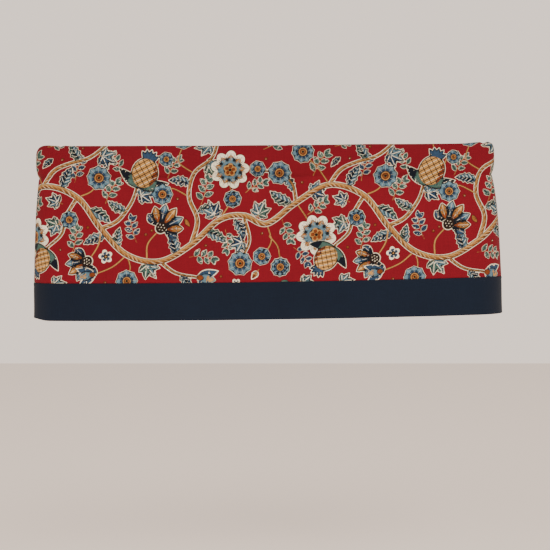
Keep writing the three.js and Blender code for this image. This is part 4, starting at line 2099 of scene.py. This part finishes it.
@dataclass(frozen=True)
class FacePanel:
    """The printed cloth: up the front, over the rod as a pocket and down its back to the stitches.

    Sizes are in millimetres, and the counts are cells along each stretch of the outer face.

    Attributes:
        form: the hanging shape.
        thickness: of the cloth.
        crown: height of the pocket's round top.
        closing: height over which the pocket closes.
        turned_edge: cloth that shows below the stitches at the back.
        layer_gap: space between the layers at the stitches.
        side_hem: cloth turned to the back at each end.
        hem_thickness: of what is turned, pressed flat.
        column_step: width of a cell.
        ink_reach: distance from an ink's edge past which nothing changes.
        soak: distance over which the print shows through the back.
        hidden: share of it that a dark ink hides.
    """

    form: ClothForm
    thickness: float = 1.4
    crown: float = 20.0
    closing: float = 34.0
    turned_edge: float = 4.0
    layer_gap: float = 0.06
    side_hem: float = 25.0
    hem_thickness: float = 1.1
    column_step: float = 2.6
    ink_reach: float = 6.0
    soak: float = 7.0
    hidden: float = 0.7
    front_count: int = 99
    closing_count: int = 14
    side_count: int = 10
    crown_count: int = 12
    back_count: int = 7

    def rows(self) -> tuple[Array, Array]:
        """Lay out the rows from the seam to the raw edge at the back.

        Returns:
            The drop of each row, and 1 on the front or -1 on the back.
        """
        pocket, low = self.form.pocket, self.form.pocket - self.closing
        quarter = np.linspace(math.pi / 2, 0.0, self.crown_count + 1)
        back_quarter = np.linspace(0.0, math.pi / 2, self.back_count + 1)
        front = (
            np.linspace(self.form.seam, pocket, self.front_count + 1),
            np.linspace(pocket, low, self.closing_count + 1)[1:],
            np.linspace(low, self.crown, self.side_count + 1)[1:],
            self.crown * (1.0 - np.cos(quarter))[1:],
        )
        back = (
            self.crown * (1.0 - np.cos(back_quarter))[1:],
            np.linspace(self.crown, low, self.back_count - 2)[1:],
            np.linspace(low, pocket, self.back_count + 1)[1:],
            np.linspace(pocket, pocket + self.turned_edge, 3)[1:],
        )
        drops = np.concatenate([*front, *back])
        count = sum(stretch.size for stretch in front)
        return drops, np.repeat([1.0, -1.0], [count, drops.size - count])

    def depth(self, drop: Array, room: Array) -> Array:
        """Give half the depth of the pocket: a quarter oval, then flat, then a parabola to the stitches.

        Args:
            drop: drops of the rows.
            room: its full half depth at each column.

        Returns:
            The half depth for each row and column.
        """
        top = np.sqrt(np.clip(1.0 - (1.0 - np.minimum(drop, self.crown) / self.crown) ** 2, 0.0, 1.0))
        closing = np.clip((drop - self.form.pocket + self.closing) / self.closing, 0.0, 1.0)
        end = (self.thickness + self.layer_gap) / 2
        return np.where(drop < self.crown, room * top, mix(room, end, closing**2))

    def path(self) -> SheetPath:
        """Lay out the cloth in section at every column.

        Returns:
            The path, with the side hems as backing below the pocket.
        """
        form = self.form
        along = form.columns(self.column_step)
        drop, face = self.rows()
        out = face[:, None] * self.depth(drop[:, None], form.half_room(along)[None, :])
        turned_back = smooth((np.abs(along) - form.half_width + self.side_hem) / 2.0 + 0.5)
        below = (drop > form.pocket + self.turned_edge + 1.0)[:, None] * turned_back[None, :]
        return SheetPath(along, drop, out, self.thickness, backing=self.hem_thickness * below)

    def ghost(self, printed: PrintField) -> Array:
        """Work out how strongly the pale inks show through the cloth, less where a dark one lies on them.

        Args:
            printed: the print.

        Returns:
            A share for each point.
        """
        pale = join(printed.edge[Ink.CREAM], printed.edge[Ink.SAND], printed.edge[Ink.OCHRE])
        dark = join(printed.edge[Ink.NAVY], printed.edge[Ink.SLATE], printed.edge[Ink.DARK])
        return smooth(0.5 - pale / self.soak) * (1.0 - self.hidden * smooth(0.5 - dark / self.soak))

    def build(self, design: PrintDesign, finish: PrintedCotton) -> bpy.types.Object:
        """Hang, print and dress the cloth. Its side hems show the printed side again, the other way round.

        Args:
            design: the print.
            finish: the cotton.

        Returns:
            The piece.
        """
        path = self.path()
        sheet = SheetMesh.hang(self.form, path)
        hem = (np.abs(sheet.along) > self.form.half_width - self.side_hem) & (sheet.inside > 0.5)
        hem &= sheet.run < self.form.seam - self.form.pocket - self.turned_edge
        mirrored = np.sign(sheet.along) * self.form.width - sheet.along
        printed = design.draw(np.where(hem, mirrored, sheet.along), sheet.run)
        inside = np.where(hem, 0.0, sheet.inside)
        values = {"inside": inside, "ghost": self.ghost(printed) * inside}
        values |= {"tone": printed.tone, "lines": printed.lines}
        for first in range(0, len(Ink), 3):
            inks = [printed.edge[ink] for ink in list(Ink)[first : first + 3]]
            layer = np.clip(np.stack(inks, axis=1), -self.ink_reach, self.ink_reach)
            layer[inside > 0.5] = self.ink_reach
            values[f"inks_{first // 3}"] = layer
        piece = sheet.make("printed_face_cloth", values)
        piece.data.materials.append(finish.make())
        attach(piece, "root")
        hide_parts("face_panel")
        return piece


@dataclass(frozen=True)
class HemBand:
    """The plain band: a strip folded double, its fold at the hem and both raw edges at the seam.

    Sizes are in millimetres.

    Attributes:
        form: the hanging shape.
        thickness: of each layer.
        air: between the layers.
        face_out: how far the front face stands in front of the pocket's centre line.
        seam_gap: between the face cloth and the band's back.
        lap: how far its front edge laps up over the face cloth.
        lap_lift: how far that edge stands out to clear it.
        lap_fade: height over which it comes out.
        column_step: width of a cell.
    """

    form: ClothForm
    thickness: float = 1.2
    air: float = 0.6
    face_out: float = 1.4
    seam_gap: float = 0.15
    lap: float = 0.25
    lap_lift: float = 1.35
    lap_fade: float = 8.0
    column_step: float = 4.0
    front_count: int = 28
    lap_count: int = 8
    back_count: int = 18
    fold_count: int = 10

    def path(self) -> SheetPath:
        """Lay out the strip in section: down the back, round the fold and up the front.

        Returns:
            The path.
        """
        form = self.form
        radius = (self.air + self.thickness) / 2
        outer = radius + self.thickness / 2
        middle, turn = self.face_out - outer, form.drop - outer
        angle = np.linspace(-math.pi / 2, math.pi / 2, self.fold_count + 1)
        back = np.linspace(form.seam + self.seam_gap, turn, self.back_count + 1)[:-1]
        top = form.seam - self.lap
        front = np.concatenate([
            np.linspace(turn, top + self.lap_fade, self.front_count + 1)[1:],
            np.linspace(top + self.lap_fade, top, self.lap_count + 1)[1:],
        ])
        drop = np.concatenate([back, turn + radius * np.cos(angle), front])
        lifted = radius + self.lap_lift * smooth(1.0 - (front - top) / self.lap_fade)
        out = np.concatenate([np.full(back.size, -radius), radius * np.sin(angle), lifted])
        along = form.columns(self.column_step)
        return SheetPath(along, drop, (middle + out)[:, None] + 0.0 * along, self.thickness)

    def build(self, finish: NavyCotton) -> bpy.types.Object:
        """Hang and dress the band.

        Args:
            finish: the cotton.

        Returns:
            The piece.
        """
        path = self.path()
        sheet = SheetMesh.hang(self.form, path)
        piece = sheet.make("plain_hem_band", {})
        piece.data.materials.append(finish.make())
        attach(piece, "root")
        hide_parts("hem_band")
        return piece


# The studio


@dataclass(frozen=True)
class SoftLight:
    """A large soft lamp.

    Attributes:
        name: of the lamp.
        place: where it stands, in metres.
        aim: what it points at.
        size: width and height.
        power: in watts.
        colour: of its light.
    """

    name: str
    place: tuple[float, float, float]
    aim: tuple[float, float, float]
    size: tuple[float, float]
    power: float
    colour: tuple[float, float, float] = (1.0, 1.0, 1.0)

    def make(self) -> bpy.types.Object:
        """Make the lamp.

        Returns:
            The lamp's object.
        """
        data = bpy.data.lights.new(self.name, "AREA")
        data.shape = "RECTANGLE"
        data.size, data.size_y = self.size
        data.energy, data.color = self.power, self.colour
        lamp = bpy.data.objects.new(self.name, data)
        lamp.location = self.place
        lamp.rotation_mode = "QUATERNION"
        lamp.rotation_quaternion = (Vector(self.aim) - Vector(self.place)).to_track_quat("-Z", "Y")
        bpy.context.scene.collection.objects.link(lamp)
        return lamp


@dataclass(frozen=True)
class Studio:
    """A pale floor, a pale room, soft lamps and a level camera in front of the window.

    Attributes:
        floor_height: of the floor, in metres.
        floor_size: of the floor.
        pale: the colour of the floor and of the room.
        air_strength: of the room's light on the cloth.
        backdrop_strength: of the room as the camera sees it.
        floor_glow: light that the floor gives off by itself.
        floor_roughness: of the floor.
        camera_place: where the camera stands.
        view_width: what it sees from side to side, at the front of the cloth.
        sensor: width of its sensor, in millimetres.
        lamps: the soft lamps.
    """

    floor_height: float = -1.1
    floor_size: float = 12.0
    pale: tuple[int, int, int] = (234, 218, 204)
    air_strength: float = 0.65
    backdrop_strength: float = 1.6
    floor_glow: float = 0.65
    floor_roughness: float = 0.9
    camera_place: tuple[float, float, float] = (0.0194, -2.2, -0.3106)
    view_width: float = 1.318
    sensor: float = 36.0
    lamps: tuple[SoftLight, ...] = (
        SoftLight("window light", (2.0, -5.0, 5.2), (0.0, 0.0, -0.2), (4.0, 3.0), 215.0),
        SoftLight("room light", (-2.6, -5.2, 4.2), (0.0, 0.0, -0.2), (4.0, 3.0), 120.0),
        SoftLight("low light", (0.4, -1.5, -1.0), (0.1, 0.0, -0.4), (2.0, 0.5), 11.0),
    )

    def build(self) -> None:
        """Make the floor, the room's light, the lamps and the camera."""
        half = self.floor_size / 2
        corners = [(-half, -half), (half, -half), (half, half), (-half, half)]
        mesh = bpy.data.meshes.new("floor")
        mesh.from_pydata([(x, y, self.floor_height) for x, y in corners], [], [(0, 1, 2, 3)])
        floor = bpy.data.objects.new("floor", mesh)
        bpy.context.scene.collection.objects.link(floor)
        material = bpy.data.materials.new("pale floor")
        material.use_nodes = True
        shader = material.node_tree.nodes["Principled BSDF"]
        shader.inputs["Base Color"].default_value = linear(*self.pale)
        shader.inputs["Roughness"].default_value = self.floor_roughness
        shader.inputs["Emission Color"].default_value = linear(*self.pale)
        shader.inputs["Emission Strength"].default_value = self.floor_glow
        mesh.materials.append(material)
        world = bpy.data.worlds.new("pale room")
        world.use_nodes = True
        air = world.node_tree.nodes["Background"]
        air.inputs["Color"].default_value = linear(*self.pale)
        nodes = Wiring(world.node_tree)
        seen = nodes.add("LightPath").outputs["Is Camera Ray"]
        extra = self.backdrop_strength - self.air_strength
        nodes.set(air.inputs["Strength"], nodes.math("MULTIPLY_ADD", seen, extra, self.air_strength))
        bpy.context.scene.world = world
        for lamp in self.lamps:
            lamp.make()
        data = bpy.data.cameras.new("camera")
        data.sensor_width = self.sensor
        data.lens = self.sensor * -self.camera_place[1] / self.view_width
        camera = bpy.data.objects.new("camera", data)
        camera.location = self.camera_place
        camera.rotation_euler = (math.pi / 2, 0.0, 0.0)
        bpy.context.scene.collection.objects.link(camera)
        bpy.context.scene.camera = camera


def main() -> None:
    """Build the two cloths, then the studio."""
    logging.basicConfig(level=logging.INFO, format="%(name)s: %(message)s")
    form = ClothForm()
    effects = CottonEffects()
    FacePanel(form).build(PrintDesign(), PrintedCotton(effects))
    HemBand(form).build(NavyCotton(effects))
    Studio().build()


if __name__ == "__main__":
    main()
